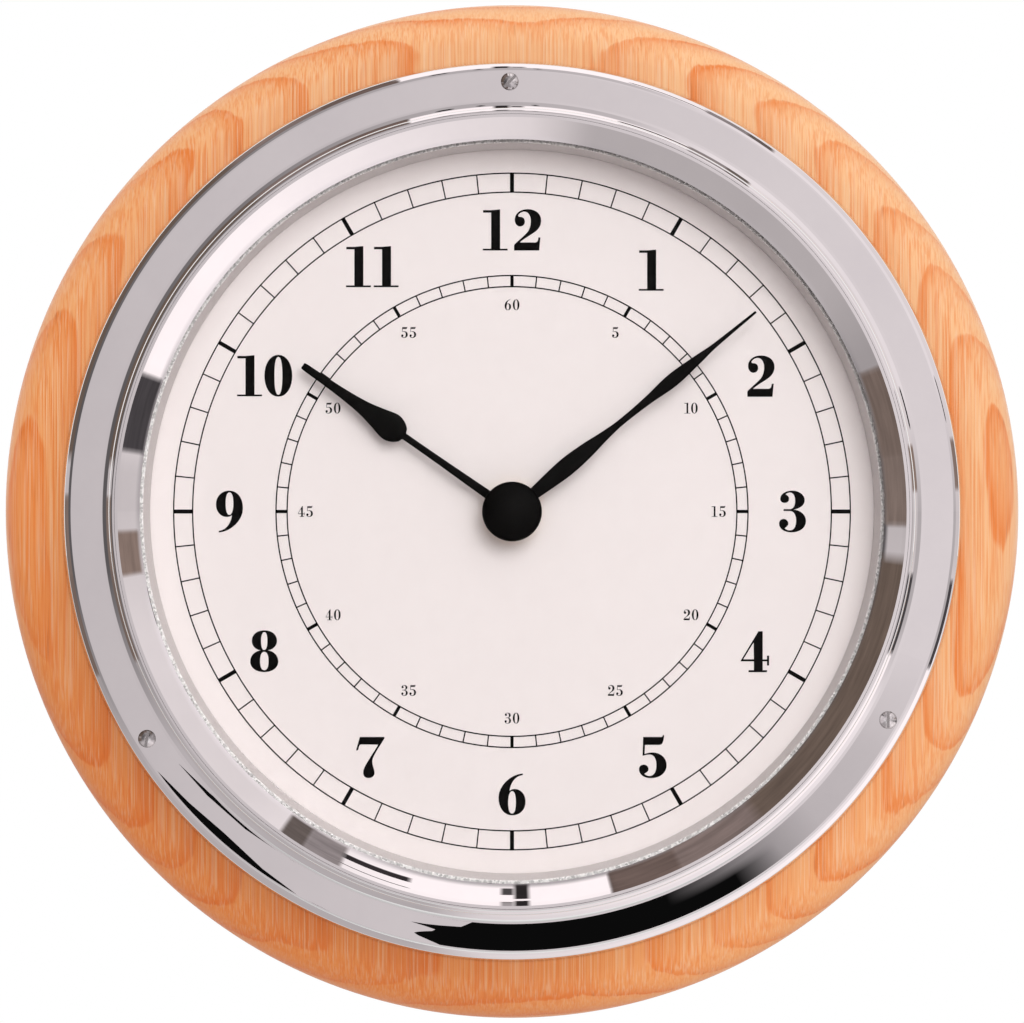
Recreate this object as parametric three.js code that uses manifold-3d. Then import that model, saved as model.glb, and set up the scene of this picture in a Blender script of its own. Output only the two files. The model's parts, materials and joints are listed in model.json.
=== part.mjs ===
// A ship's clock on a turned wooden board, hung on a wall, as separate pieces.
// Millimetres. The clock is laid out in its dial frame, with x to the right, y towards twelve and z from
// the wall to the viewer, and is then stood up, so that twelve is at +Z and the dial faces -Y.
import * as THREE from 'three';
import { mergeVertices } from 'three/addons/utils/BufferGeometryUtils.js';
import Module from 'manifold-3d';

const wasm = await Module();
wasm.setup();

// Fits
const SEAT = 0.25; // between two pieces that rest on each other
const RUN = 0.2; // radial clearance of what turns in a bearing
const FIT = 0.15; // radial clearance of what is pressed or screwed in
const END_SHAKE = 0.3; // axial play of a wheel between its bearings
const LEVEL_GAP = 0.4; // between wheels at neighbouring levels

// Facets of a full turn
const CASE_SIDES = 48;
const HUB_SIDES = 24;
const PIN_SIDES = 12;

// Steps of a curved outline
const ROUND_STEPS = 3;
const BOARD_ROUND_STEPS = 5;
const DOME_STEPS = 4;
const STATION_STEPS = 2; // for each station of a hand

// Wooden board and its keyhole hanger
const BOARD_MARGIN = 12; // bare wood round the flange
const BOARD_THICKNESS = 18;
const BOARD_FRONT_ROUND = 9;
const BOARD_BACK_ROUND = 5;
const HANGER_DROP = 24; // from the board's top to the centre of the hanger plate
const HANGER_WIDTH = 44;
const HANGER_DEPTH = 24;
const HANGER_THICKNESS = 1.2;
const KEYHOLE_RADIUS = 5;
const KEYHOLE_SLOT = 5; // width of the slot that takes the nail's shank
const KEYHOLE_TRAVEL = 7; // from the entry up to the slot's end
const NAIL_POCKET_DEPTH = 5.5; // room for the nail's head in the board
const NAIL_POCKET_MARGIN = 1;
const HANGER_SCREW_RADIUS = 1.1;
const HANGER_SCREW_HEAD = 2.2;
const HANGER_SCREW_LENGTH = 11;
const HANGER_SCREW_MARGIN = 5; // from the plate's end to the screw

// Chromed case with its mounting flange
const CASE_RADIUS = 79.2;
const CASE_WALL = 1.15;
const CASE_COVE = 3.2;
const FLANGE_BREADTH = 10.8; // from the case's wall to the flange's edge
const FLANGE_THICKNESS = 2.6;
const FLANGE_EDGE_ROUND = 2;
const RIM_ROUND = 0.9;
const LEDGE_WIDTH = 3.1;
const LEDGE_THICKNESS = 2.4;
const FLANGE_SCREW_INSET = 4; // from the flange's edge to a screw
const FLANGE_SCREW_ANGLES = [90.3, 211.9, 331]; // degrees from three o'clock, anticlockwise
const FLANGE_SCREW_HEAD = 1.75;
const FLANGE_SCREW_RADIUS = 1.0;
const FLANGE_SCREW_LENGTH = 13;
const FLANGE_SCREW_DOME = 0.6;
const SCREW_SLOT_WIDTH = 0.55;
const SCREW_SLOT_DEPTH = 0.5;
const FLANGE_SCREW_SLOTS = [45, 80, 90]; // degrees of each slot

// Window: bezel ring, glass, seal and reflector
const BEZEL_BREADTH = 4.75; // from the bezel's outside to the mouth of its funnel
const BEZEL_DEPTH = 3.2;
const BEZEL_LIP = 1;
const GLASS_THICKNESS = 2.5;
const SEAL_THICKNESS = 0.8;
const SEAL_SHOWN = 0.55; // width of the seal inside the window
const REHAUT_TAPER = 1;
const DIAL_TO_GLASS = 9.2;
const DIAL_THICKNESS = 1;
const SNAP_RING_WIDTH = 3;
const SNAP_RING_THICKNESS = 1;
const SNAP_RING_GROOVE = 0.65;
const SNAP_RING_SPLIT = 24; // degrees left open at six o'clock

// Hands, with half widths at distances from the centre
const MINUTE_ANGLE = 50.7; // degrees clockwise from twelve
const HOUR_ANGLE = 304.9;
const MINUTE_OUTLINE = [
  [4, 1.05], [11.2, 1.68], [15, 1.8], [19.4, 1.48], [23.7, 0.94], [28, 0.64], [34.5, 0.83],
  [40.9, 1.34], [47, 0.93], [51, 0.53], [55.5, 0.38], [62.2, 0.24],
];
const HOUR_STEM = [[4, 0.93], [19, 0.7], [26, 0.68]];
const HOUR_PEAR = [
  [26.3, 1.5], [27.5, 2.4], [29.4, 2.83], [32.4, 2.15], [35.6, 1.48], [39.9, 1.05], [44.7, 0.84],
  [49.7, 0.72], [50.4, 0.45],
];
const HAND_HUB = 4.6;
const MINUTE_BLADE = 0.5;
const HOUR_BLADE = 0.6;
const HOUR_COLLET = 1.1;
const HAND_GAP = 0.9; // between the two blades
const CAP_RADIUS = 5.9;
const CAP_HEIGHT = 2.2;

// Quartz movement: case, bush and battery
const WALL = 1.2;
const CORNER_ROUND = 3;
const BATTERY_RADIUS = 7.25;
const BATTERY_LENGTH = 49.2;
const BATTERY_NUB_RADIUS = 2.7;
const BATTERY_NUB_LENGTH = 1.3;
const CONTACT_THICKNESS = 0.4;
const CONTACT_WIDTH = 9;
const CONTACT_STRIP = 2.2;
const TRAIN_ROOM_HEIGHT = 28; // from the centre to the top of the movement
const REAR_CLEAR = 1; // from the movement's back to the board
const BUSH_RADIUS = 4;
const BUSH_NUT_RADIUS = 5.6;
const BUSH_NUT_THICKNESS = 1.6;
const BUSH_NUT_SLOT = 1.4;
const WASHER_RADIUS = 9;
const WASHER_THICKNESS = 0.5;
const KNOB_RADIUS = 5;
const KNOB_THICKNESS = 3;
const KNOB_FLUTES = 12;
const KNOB_FLUTE_DEPTH = 0.4;

// Arbors
const MINUTE_ARBOR = 1.75;
const MINUTE_TIP = 1.4;
const MINUTE_JOURNAL = 1.2;
const HOUR_PIPE_WALL = 0.6;
const ARBOR = 0.6;
const PIVOT = 0.4;
const SETTING_SHAFT = 1;

// Wheels: thickness, teeth and modules
const WHEEL = 0.8;
const PINION_OVERLAP = 0.1; // a pinion stands this much past its wheel, each side
const LEAVES = 6;
const FIFTH_TEETH = 36;
const SECOND_TEETH = 30;
const THIRD_TEETH = 48;
const CENTRE_TEETH = 45;
const CANNON_LEAVES = 12;
const MINUTE_TEETH = 36;
const MINUTE_LEAVES = 10;
const HOUR_TEETH = 40;
const ROTOR_MODULE = 0.33;
const SECOND_MODULE = 0.4;
const THIRD_MODULE = 0.38;
const PRESSURE_ANGLE = THREE.MathUtils.degToRad(20);
const TOOTH_SHARE = 0.82; // tooth thickness against half a pitch, for backlash
const PINION_ADDENDUM = 0.8;
const WHEEL_ADDENDUM = 0.75;
const DEDENDUM = 1.15;
const THIRD_DIRECTION = 20; // degrees from three o'clock
const MINUTE_DIRECTION = 150;
const FIFTH_DIRECTION = 100;
const ROTOR_DIRECTION = 80;

// Stepping motor and circuit
const BRIDGE = 0.8;
const BRIDGE_MARGIN = 2;
const POST_RADIUS = 1.3;
const POST_PIN = 0.6;
const MAGNET_RADIUS = 2.6;
const MAGNET_OVERHANG = 0.15; // the magnet stands this much past the stator, each side
const STATOR = 0.8;
const STATOR_GAP = 0.6; // radial air gap round the magnet
const STATOR_HALF_SPAN = 15;
const STATOR_ARM = 4; // width of the stator's arms and of its bar round the magnet
const COIL_RISE = 8; // from the rotor to the coil's axis
const COIL_RADIUS = 3;
const COIL_LENGTH = 18;
const BOBBIN_WALL = 0.4;
const BOBBIN_FLANGE = 0.9;
const CORE_WIDTH = 2.2;
const CORE_THICKNESS = 0.8;
const CIRCUIT_WIDTH = 6.4;
const CIRCUIT_LENGTH = 29;
const CIRCUIT_THICKNESS = 0.8;
const CHIP_SIZE = 4;
const CHIP_HEIGHT = 1.2;
const CRYSTAL_RADIUS = 1.4;
const CRYSTAL_LENGTH = 8;

// Levels from the wall to the rim
const flangeBack = BOARD_THICKNESS + SEAT;
const flangeFront = flangeBack + FLANGE_THICKNESS;
const batteryFront = WALL + SEAT;
const movementFront = BOARD_THICKNESS + REAR_CLEAR + batteryFront + 2 * BATTERY_RADIUS;
const washerBack = movementFront + SEAT;
const dialBack = washerBack + WASHER_THICKNESS + SEAT;
const dialFront = dialBack + DIAL_THICKNESS;
const glassBack = dialFront + DIAL_TO_GLASS;
const glassFront = glassBack + GLASS_THICKNESS;
const sealFront = glassBack - SEAT;
const sealBack = sealFront - SEAL_THICKNESS;
const ledgeFront = sealBack - SEAT;
const ledgeBack = ledgeFront - LEDGE_THICKNESS;
const bezelBack = glassFront + SEAT;
const rimFront = bezelBack + BEZEL_DEPTH;
const snapFront = dialBack - SEAT;
const snapBack = snapFront - SNAP_RING_THICKNESS;

// Radii of what carries the case
const flangeRadius = CASE_RADIUS + FLANGE_BREADTH;
const flangeScrewCircle = flangeRadius - FLANGE_SCREW_INSET;
const boardRadius = flangeRadius + BOARD_MARGIN;
const hangerHeight = boardRadius - HANGER_DROP;
const keyholeEntry = hangerHeight - KEYHOLE_TRAVEL / 2;

// Radii of what stands inside the case
const caseBore = CASE_RADIUS - CASE_WALL;
const bezelRadius = caseBore - FIT;
const windowRadius = bezelRadius - BEZEL_BREADTH;
const glassRadius = caseBore - 2 * SEAT;
const dialRadius = glassRadius;
const ledgeBore = caseBore - LEDGE_WIDTH;
const sealBore = windowRadius - SEAL_SHOWN;
const rehautFoot = sealBore - REHAUT_TAPER;

// Levels of the hands, in front of the dial
const nutBack = dialFront + SEAT;
const bushEnd = nutBack + BUSH_NUT_THICKNESS + SEAT;
const hourBack = bushEnd + END_SHAKE;
const hourFront = hourBack + HOUR_COLLET;
const minuteBack = hourFront + HAND_GAP;
const minuteFront = minuteBack + MINUTE_BLADE;
const capBack = minuteFront + SEAT;
const minuteTipEnd = capBack + CAP_HEIGHT / 2;

// Depths behind the movement's front face, with each wheel level from its front to its back
function level(front, thickness = WHEEL) {
  return { front, back: front + thickness };
}
const hourLevel = level(WALL + LEVEL_GAP);
const minuteLevel = level(hourLevel.back + LEVEL_GAP);
const clutchLevel = level(minuteLevel.back + SEAT, SEAT);
const centreLevel = level(clutchLevel.back + SEAT);
const bridgeLevel = level(centreLevel.back + LEVEL_GAP, BRIDGE);
const thirdLevel = level(bridgeLevel.back + LEVEL_GAP);
const secondLevel = level(thirdLevel.back + LEVEL_GAP);
const fifthLevel = level(secondLevel.back + LEVEL_GAP);
const coverLevel = level(fifthLevel.back + LEVEL_GAP + END_SHAKE, WALL);
const statorLevel = level(thirdLevel.back + LEVEL_GAP, STATOR);
const magnetLevel = level(statorLevel.front - MAGNET_OVERHANG, STATOR + 2 * MAGNET_OVERHANG);
const knobLevel = level(coverLevel.back + END_SHAKE, KNOB_THICKNESS);
const coreLevel = level(statorLevel.front - SEAT - CORE_THICKNESS, CORE_THICKNESS);
const wallBack = coverLevel.front - SEAT;

// Places of the arbors, in the dial's plane
function polar(degrees, distance, from = new THREE.Vector2()) {
  const angle = THREE.MathUtils.degToRad(degrees);
  return new THREE.Vector2(distance * Math.cos(angle), distance * Math.sin(angle)).add(from);
}
function tipRadius(teeth, module, addendum) {
  return module * (teeth / 2 + addendum);
}
const thirdDistance = THIRD_MODULE * (LEAVES + THIRD_TEETH) / 2;
const centreModule = 2 * thirdDistance / (LEAVES + CENTRE_TEETH);
const centreTip = tipRadius(CENTRE_TEETH, centreModule, WHEEL_ADDENDUM);
const motionDistance = centreTip + SETTING_SHAFT + LEVEL_GAP;
const minuteModule = 2 * motionDistance / (CANNON_LEAVES + MINUTE_TEETH);
const hourModule = 2 * motionDistance / (MINUTE_LEAVES + HOUR_TEETH);
const hourTip = tipRadius(HOUR_TEETH, hourModule, WHEEL_ADDENDUM);
const centre = new THREE.Vector2();
const third = polar(THIRD_DIRECTION, thirdDistance);
const minuteWheel = polar(MINUTE_DIRECTION, motionDistance);
const fifth = polar(FIFTH_DIRECTION, SECOND_MODULE * (LEAVES + SECOND_TEETH) / 2);
const rotor = polar(ROTOR_DIRECTION, ROTOR_MODULE * (LEAVES + FIFTH_TEETH) / 2, fifth);

// Outline of the movement: a train room above, and the battery's bay below it
const bayHalfLength = BATTERY_LENGTH / 2 + BATTERY_NUB_LENGTH / 2 + CONTACT_THICKNESS + 2 * SEAT;
const halfWidth = bayHalfLength + WALL;
const roomFloor = -(Math.max(centreTip, hourTip) + LEVEL_GAP);
const bayTop = roomFloor - WALL;
const batteryHeight = bayTop - SEAT - BATTERY_RADIUS;
const bayFloor = batteryHeight - BATTERY_RADIUS - SEAT;
const movementFoot = bayFloor - WALL;
const roomTop = TRAIN_ROOM_HEIGHT - WALL;

// Solids
function welded(geometry) {
  const bare = new THREE.BufferGeometry();
  bare.setAttribute('position', geometry.getAttribute('position'));
  bare.setIndex(geometry.getIndex());
  const merged = mergeVertices(bare);
  const corners = merged.getIndex().array;
  const kept = [];
  for (let i = 0; i < corners.length; i += 3) {
    const [a, b, c] = corners.slice(i, i + 3);
    if (a !== b && b !== c && c !== a) kept.push(a, b, c);
  }
  merged.setIndex(kept);
  return merged;
}

function solid(geometry) {
  const vertProperties = Float32Array.from(geometry.getAttribute('position').array);
  const triVerts = Uint32Array.from(geometry.getIndex().array);
  return new wasm.Manifold(new wasm.Mesh({ numProp: 3, vertProperties, triVerts }));
}

function geometryOf(body) {
  const mesh = body.getMesh();
  const geometry = new THREE.BufferGeometry();
  geometry.setAttribute('position', new THREE.BufferAttribute(mesh.vertProperties, 3));
  geometry.setIndex(new THREE.BufferAttribute(mesh.triVerts, 1));
  return geometry;
}

function join(first, ...others) {
  return geometryOf(others.reduce((body, other) => body.add(solid(other)), solid(first)));
}

function cut(first, ...tools) {
  return geometryOf(tools.reduce((body, tool) => body.subtract(solid(tool)), solid(first)));
}

// A solid turned about the dial's axis from a loop of [radius, height] points, seen anticlockwise
function turned(loop, sides) {
  const points = loop.map(([radius, height]) => new THREE.Vector2(radius, height));
  const meetsAxis = loop[0][0] === 0;
  if (!meetsAxis) points.push(points[0].clone());
  return welded(new THREE.LatheGeometry(points, sides).rotateX(Math.PI / 2));
}

function rod(radius, back, front, place = centre, sides = PIN_SIDES) {
  const loop = [[0, back], [radius, back], [radius, front], [0, front]];
  return turned(loop, sides).translate(place.x, place.y, 0);
}

function tube(bore, radius, back, front, sides) {
  return turned([[bore, back], [radius, back], [radius, front], [bore, front]], sides);
}

function cone(backRadius, frontRadius, back, front, place) {
  const loop = [[0, back], [backRadius, back], [frontRadius, front], [0, front]];
  return turned(loop, PIN_SIDES).translate(place.x, place.y, 0);
}

function arc(radius, height, bend, fromDegrees, toDegrees, steps) {
  return Array.from({ length: steps + 1 }, (_, step) => {
    const point = polar(fromDegrees + (toDegrees - fromDegrees) * step / steps, bend);
    return [radius + point.x, height + point.y];
  });
}

// A dome's profile from its edge to its crown on the axis
function dome(radius, height, foot) {
  const bend = (radius ** 2 + height ** 2) / (2 * height);
  const spread = THREE.MathUtils.radToDeg(Math.asin(radius / bend));
  const rise = arc(0, foot + height - bend, bend, 90 - spread, 90, DOME_STEPS);
  return [...rise.slice(0, DOME_STEPS), [0, foot + height]];
}

function block(left, right, bottom, top, back, front) {
  const box = new THREE.BoxGeometry(right - left, top - bottom, front - back);
  return welded(box.translate((left + right) / 2, (bottom + top) / 2, (back + front) / 2));
}

function prism(shape, back, front, curveSegments = PIN_SIDES / 4) {
  const options = { depth: front - back, bevelEnabled: false, curveSegments };
  return welded(new THREE.ExtrudeGeometry(shape, options).translate(0, 0, back));
}

function roundedPlate(left, right, bottom, top, corner) {
  const shape = new THREE.Shape();
  shape.absarc(right - corner, top - corner, corner, 0, Math.PI / 2);
  shape.absarc(left + corner, top - corner, corner, Math.PI / 2, Math.PI);
  shape.absarc(left + corner, bottom + corner, corner, Math.PI, 1.5 * Math.PI);
  shape.absarc(right - corner, bottom + corner, corner, 1.5 * Math.PI, 2 * Math.PI);
  shape.closePath();
  return shape;
}

// A depth behind the movement's front face, as a height above the wall
function behind(depth) {
  return movementFront - depth;
}

function inLevel({ front, back }, past = 0) {
  return [behind(back + past), behind(front - past)];
}

// Gears
function involute(angle) {
  return Math.tan(angle) - angle;
}

function gearShape(teeth, module, phase, heights) {
  const pitchRadius = teeth * module / 2;
  const baseRadius = pitchRadius * Math.cos(PRESSURE_ANGLE);
  const flank = heights.map((height) => {
    const radius = pitchRadius + height * module;
    const pressure = Math.acos(Math.min(1, baseRadius / radius));
    const half = TOOTH_SHARE * Math.PI / (2 * teeth) + involute(PRESSURE_ANGLE) - involute(pressure);
    return { radius, half };
  });
  const points = [];
  for (let tooth = 0; tooth < teeth; tooth += 1) {
    const middle = phase + tooth * 2 * Math.PI / teeth;
    const sides = [...flank.map(({ radius, half }) => [radius, middle - half]),
      ...flank.toReversed().map(({ radius, half }) => [radius, middle + half])];
    sides.forEach(([radius, angle]) => {
      points.push(new THREE.Vector2(radius * Math.cos(angle), radius * Math.sin(angle)));
    });
  }
  return new THREE.Shape(points);
}

// A pinion has a leaf on the line to its mate, and the wheel it drives has a gap there
function pinion(leaves, module, place, mate, wheelLevel) {
  const phase = mate.clone().sub(place).angle();
  const shape = gearShape(leaves, module, phase, [-DEDENDUM, 0, PINION_ADDENDUM]);
  return prism(shape, ...inLevel(wheelLevel, PINION_OVERLAP)).translate(place.x, place.y, 0);
}

function wheel(teeth, module, place, mate, wheelLevel) {
  const phase = mate.clone().sub(place).angle() + Math.PI / teeth;
  const shape = gearShape(teeth, module, phase, [-DEDENDUM, WHEEL_ADDENDUM]);
  return prism(shape, ...inLevel(wheelLevel)).translate(place.x, place.y, 0);
}

// An arbor between two plates, with a thinner pivot in each
function arbor(place, frontPlate, rearPlate) {
  const shoulderFront = behind(frontPlate.back + END_SHAKE);
  const shoulderBack = behind(rearPlate.front - END_SHAKE);
  const pivotFront = behind((frontPlate.front + frontPlate.back) / 2);
  const pivotBack = behind((rearPlate.front + rearPlate.back) / 2);
  const loop = [[0, pivotBack], [PIVOT, pivotBack], [PIVOT, shoulderBack], [ARBOR, shoulderBack],
    [ARBOR, shoulderFront], [PIVOT, shoulderFront], [PIVOT, pivotFront], [0, pivotFront]];
  return turned(loop, PIN_SIDES).translate(place.x, place.y, 0);
}

function pivotHole(place, plate) {
  return rod(PIVOT + RUN, behind(plate.back + SEAT), behind(plate.front - SEAT), place);
}

const frontPlate = { front: 0, back: WALL };

// Scene
const clock = new THREE.Group();
clock.name = 'ships_clock';
const dialFrame = new THREE.Group();
dialFrame.rotation.x = Math.PI / 2;
clock.add(dialFrame);

function finish(color, roughness, metalness = 0) {
  return new THREE.MeshStandardMaterial({ color, roughness, metalness });
}
const chrome = finish(0xd9dbdd, 0.08, 1);
const wood = finish(0xe0985c, 0.45);
const steel = finish(0xb4b6b8, 0.35, 1);
const brass = finish(0xc9a24a, 0.3, 1);
const copper = finish(0xb56a3c, 0.4, 1);
const clearGlass = finish(0xf4f8f8, 0.02);
const paleRubber = finish(0xdcdcd8, 0.8);
const greyPaint = finish(0x9a9a9c, 0.6);
const whitePaint = finish(0xefebe8, 0.7);
const blackPaint = finish(0x141313, 0.5);
const blackPlastic = finish(0x1b1b1d, 0.55);
const whitePlastic = finish(0xe8e6de, 0.5);
const magnetGrey = finish(0x5a5a5e, 0.4, 1);
const boardGreen = finish(0x2f6b45, 0.6);
const cellJacket = finish(0x6b7280, 0.35, 0.4);

function add(name, geometry, material) {
  const mesh = new THREE.Mesh(geometry, material);
  mesh.name = name;
  dialFrame.add(mesh);
}

// Fasteners shared by the pieces that they pass through
const flangeScrewPlaces = FLANGE_SCREW_ANGLES.map((angle) => polar(angle, flangeScrewCircle));
const hangerScrewReach = HANGER_WIDTH / 2 - HANGER_SCREW_MARGIN;
const hangerScrewPlaces = [-hangerScrewReach, hangerScrewReach].map(
  (x) => new THREE.Vector2(x, hangerHeight));
const hangerBack = SEAT / 2;
const hangerFront = hangerBack + HANGER_THICKNESS;

function addBackingBoard() {
  const front = BOARD_THICKNESS - BOARD_FRONT_ROUND;
  const blank = turned([
    [0, 0],
    ...arc(boardRadius - BOARD_BACK_ROUND, BOARD_BACK_ROUND, BOARD_BACK_ROUND, -90, 0, ROUND_STEPS),
    ...arc(boardRadius - BOARD_FRONT_ROUND, front, BOARD_FRONT_ROUND, 0, 90, BOARD_ROUND_STEPS),
    [0, BOARD_THICKNESS],
  ], CASE_SIDES);
  const halfWidthOfRecess = HANGER_WIDTH / 2 + SEAT;
  const halfDepthOfRecess = HANGER_DEPTH / 2 + SEAT;
  const recess = prism(
    roundedPlate(-halfWidthOfRecess, halfWidthOfRecess, hangerHeight - halfDepthOfRecess,
      hangerHeight + halfDepthOfRecess, CORNER_ROUND + SEAT),
    -SEAT, hangerFront + SEAT);
  const pocketReach = KEYHOLE_RADIUS + NAIL_POCKET_MARGIN;
  const pocket = block(-pocketReach, pocketReach, keyholeEntry - pocketReach,
    keyholeEntry + KEYHOLE_TRAVEL + pocketReach, 0, NAIL_POCKET_DEPTH);
  const flangePilots = flangeScrewPlaces.map((place) => rod(FLANGE_SCREW_RADIUS + FIT,
    flangeFront - FLANGE_SCREW_LENGTH - SEAT, BOARD_THICKNESS + SEAT, place));
  const hangerPilots = hangerScrewPlaces.map((place) => rod(HANGER_SCREW_RADIUS + FIT,
    0, hangerBack + HANGER_SCREW_LENGTH + SEAT, place));
  add('backing_board', cut(blank, recess, pocket, ...flangePilots, ...hangerPilots), wood);
}

function addHanger() {
  const halfSlot = KEYHOLE_SLOT / 2;
  const plate = roundedPlate(-HANGER_WIDTH / 2, HANGER_WIDTH / 2, hangerHeight - HANGER_DEPTH / 2,
    hangerHeight + HANGER_DEPTH / 2, CORNER_ROUND);
  const opening = new THREE.Path();
  const meet = Math.acos(halfSlot / KEYHOLE_RADIUS);
  opening.absarc(0, keyholeEntry, KEYHOLE_RADIUS, Math.PI - meet, 2 * Math.PI + meet);
  opening.absarc(0, keyholeEntry + KEYHOLE_TRAVEL, halfSlot, 0, Math.PI);
  opening.closePath();
  plate.holes.push(opening);
  const sinks = hangerScrewPlaces.map((place) => cone(HANGER_SCREW_HEAD + FIT,
    HANGER_SCREW_RADIUS + FIT, hangerBack - FIT, hangerFront + FIT, place));
  add('hanger_plate', cut(prism(plate, hangerBack, hangerFront), ...sinks), steel);
  hangerScrewPlaces.forEach((place, number) => {
    const headEnd = hangerBack + HANGER_THICKNESS;
    const end = hangerBack + HANGER_SCREW_LENGTH;
    const body = turned([[0, hangerBack], [HANGER_SCREW_HEAD - FIT, hangerBack],
      [HANGER_SCREW_RADIUS, headEnd], [HANGER_SCREW_RADIUS, end - 2 * HANGER_SCREW_RADIUS],
      [0, end]], PIN_SIDES).translate(place.x, place.y, 0);
    const slot = block(-HANGER_SCREW_HEAD, HANGER_SCREW_HEAD, -SCREW_SLOT_WIDTH / 2,
      SCREW_SLOT_WIDTH / 2, hangerBack - SEAT, hangerBack + SCREW_SLOT_DEPTH);
    slot.translate(place.x, place.y, 0);
    add(`hanger_screw_${number + 1}`, cut(body, slot), steel);
  });
}

function addCaseBody() {
  const grooveBack = snapBack - FIT;
  const grooveFront = snapFront + FIT;
  const blank = turned([
    [caseBore, flangeBack],
    [flangeRadius, flangeBack],
    ...arc(flangeRadius - FLANGE_EDGE_ROUND, flangeFront - FLANGE_EDGE_ROUND, FLANGE_EDGE_ROUND,
      0, 90, ROUND_STEPS),
    ...arc(CASE_RADIUS + CASE_COVE, flangeFront + CASE_COVE, CASE_COVE, 270, 180, ROUND_STEPS),
    ...arc(CASE_RADIUS - RIM_ROUND, rimFront - RIM_ROUND, RIM_ROUND, 0, 90, ROUND_STEPS),
    [caseBore, rimFront - FIT],
    [caseBore, ledgeFront],
    [ledgeBore, ledgeFront],
    [ledgeBore, ledgeBack],
    [caseBore, ledgeBack],
    [caseBore, grooveFront],
    [caseBore + SNAP_RING_GROOVE, grooveFront],
    [caseBore + SNAP_RING_GROOVE, grooveBack],
    [caseBore, grooveBack],
  ], CASE_SIDES);
  const sinkDepth = FLANGE_SCREW_HEAD - FLANGE_SCREW_RADIUS;
  const holes = flangeScrewPlaces.flatMap((place) => [
    rod(FLANGE_SCREW_RADIUS + FIT, flangeBack - SEAT, flangeFront, place),
    cone(FLANGE_SCREW_RADIUS + FIT, FLANGE_SCREW_HEAD + FIT + SEAT, flangeFront - sinkDepth - FIT,
      flangeFront + SEAT, place),
  ]);
  add('case_body', cut(blank, ...holes), chrome);
  flangeScrewPlaces.forEach((place, number) => {
    const end = flangeFront - FLANGE_SCREW_LENGTH;
    const body = turned([[0, end], [FLANGE_SCREW_RADIUS, end + 2 * FLANGE_SCREW_RADIUS],
      [FLANGE_SCREW_RADIUS, flangeFront - sinkDepth],
      ...dome(FLANGE_SCREW_HEAD, FLANGE_SCREW_DOME, flangeFront)], PIN_SIDES);
    const slot = block(-FLANGE_SCREW_HEAD, FLANGE_SCREW_HEAD, -SCREW_SLOT_WIDTH / 2,
      SCREW_SLOT_WIDTH / 2, flangeFront + FLANGE_SCREW_DOME - SCREW_SLOT_DEPTH,
      flangeFront + FLANGE_SCREW_DOME + SEAT);
    slot.rotateZ(THREE.MathUtils.degToRad(FLANGE_SCREW_SLOTS[number]));
    const screw = cut(body, slot).translate(place.x, place.y, 0);
    add(`flange_screw_${number + 1}`, screw, chrome);
  });
}

function addWindow() {
  const funnelTop = bezelRadius - BEZEL_LIP;
  add('bezel_ring', turned([
    [windowRadius, bezelBack],
    [bezelRadius, bezelBack],
    [bezelRadius, rimFront - BEZEL_LIP / 2],
    ...arc(funnelTop + BEZEL_LIP / 2, rimFront - BEZEL_LIP / 2, BEZEL_LIP / 2, 45, 180, ROUND_STEPS),
    [windowRadius, bezelBack + SEAT],
  ], CASE_SIDES), chrome);
  add('glass', rod(glassRadius, glassBack, glassFront, centre, CASE_SIDES), clearGlass);
  add('glass_seal', tube(sealBore, glassRadius, sealBack, sealFront, CASE_SIDES), paleRubber);
  const collar = ledgeBore - SEAT;
  const foot = dialFront + SEAT;
  const shoulder = ledgeBack - SEAT;
  add('rehaut_ring', turned([
    [rehautFoot, foot],
    [glassRadius, foot],
    [glassRadius, shoulder],
    [collar, shoulder],
    [collar, ledgeFront],
    [sealBore, ledgeFront],
  ], CASE_SIDES), greyPaint);
  add('dial_plate', tube(BUSH_RADIUS + SEAT, dialRadius, dialBack, dialFront, CASE_SIDES), whitePaint);
  const flats = caseBore * (1 - Math.cos(Math.PI / CASE_SIDES)); // the faceted bore's sag
  const snapRadius = caseBore + SNAP_RING_GROOVE - FIT - flats;
  const open = THREE.MathUtils.degToRad(SNAP_RING_SPLIT / 2);
  const split = new THREE.Shape();
  split.absarc(0, 0, snapRadius, open - Math.PI / 2, 1.5 * Math.PI - open);
  split.absarc(0, 0, snapRadius - SNAP_RING_WIDTH, 1.5 * Math.PI - open, open - Math.PI / 2, true);
  add('dial_snap_ring', prism(split, snapBack, snapFront, CASE_SIDES / 2), steel);
}

// An outline of both edges of a hand that points to twelve, from [distance, half width] stations
function edges(stations) {
  const curve = new THREE.SplineCurve(stations.map(([along, half]) => new THREE.Vector2(half, along)));
  return curve.getPoints(STATION_STEPS * stations.length);
}

function mirrored(points) {
  return points.map(({ x, y }) => new THREE.Vector2(-x, y)).reverse();
}

function blade(points, back, front) {
  return prism(new THREE.Shape([...points, ...mirrored(points)]), back, front);
}

function turnedToTime(geometry, degrees) {
  return geometry.rotateZ(-THREE.MathUtils.degToRad(degrees));
}

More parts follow.
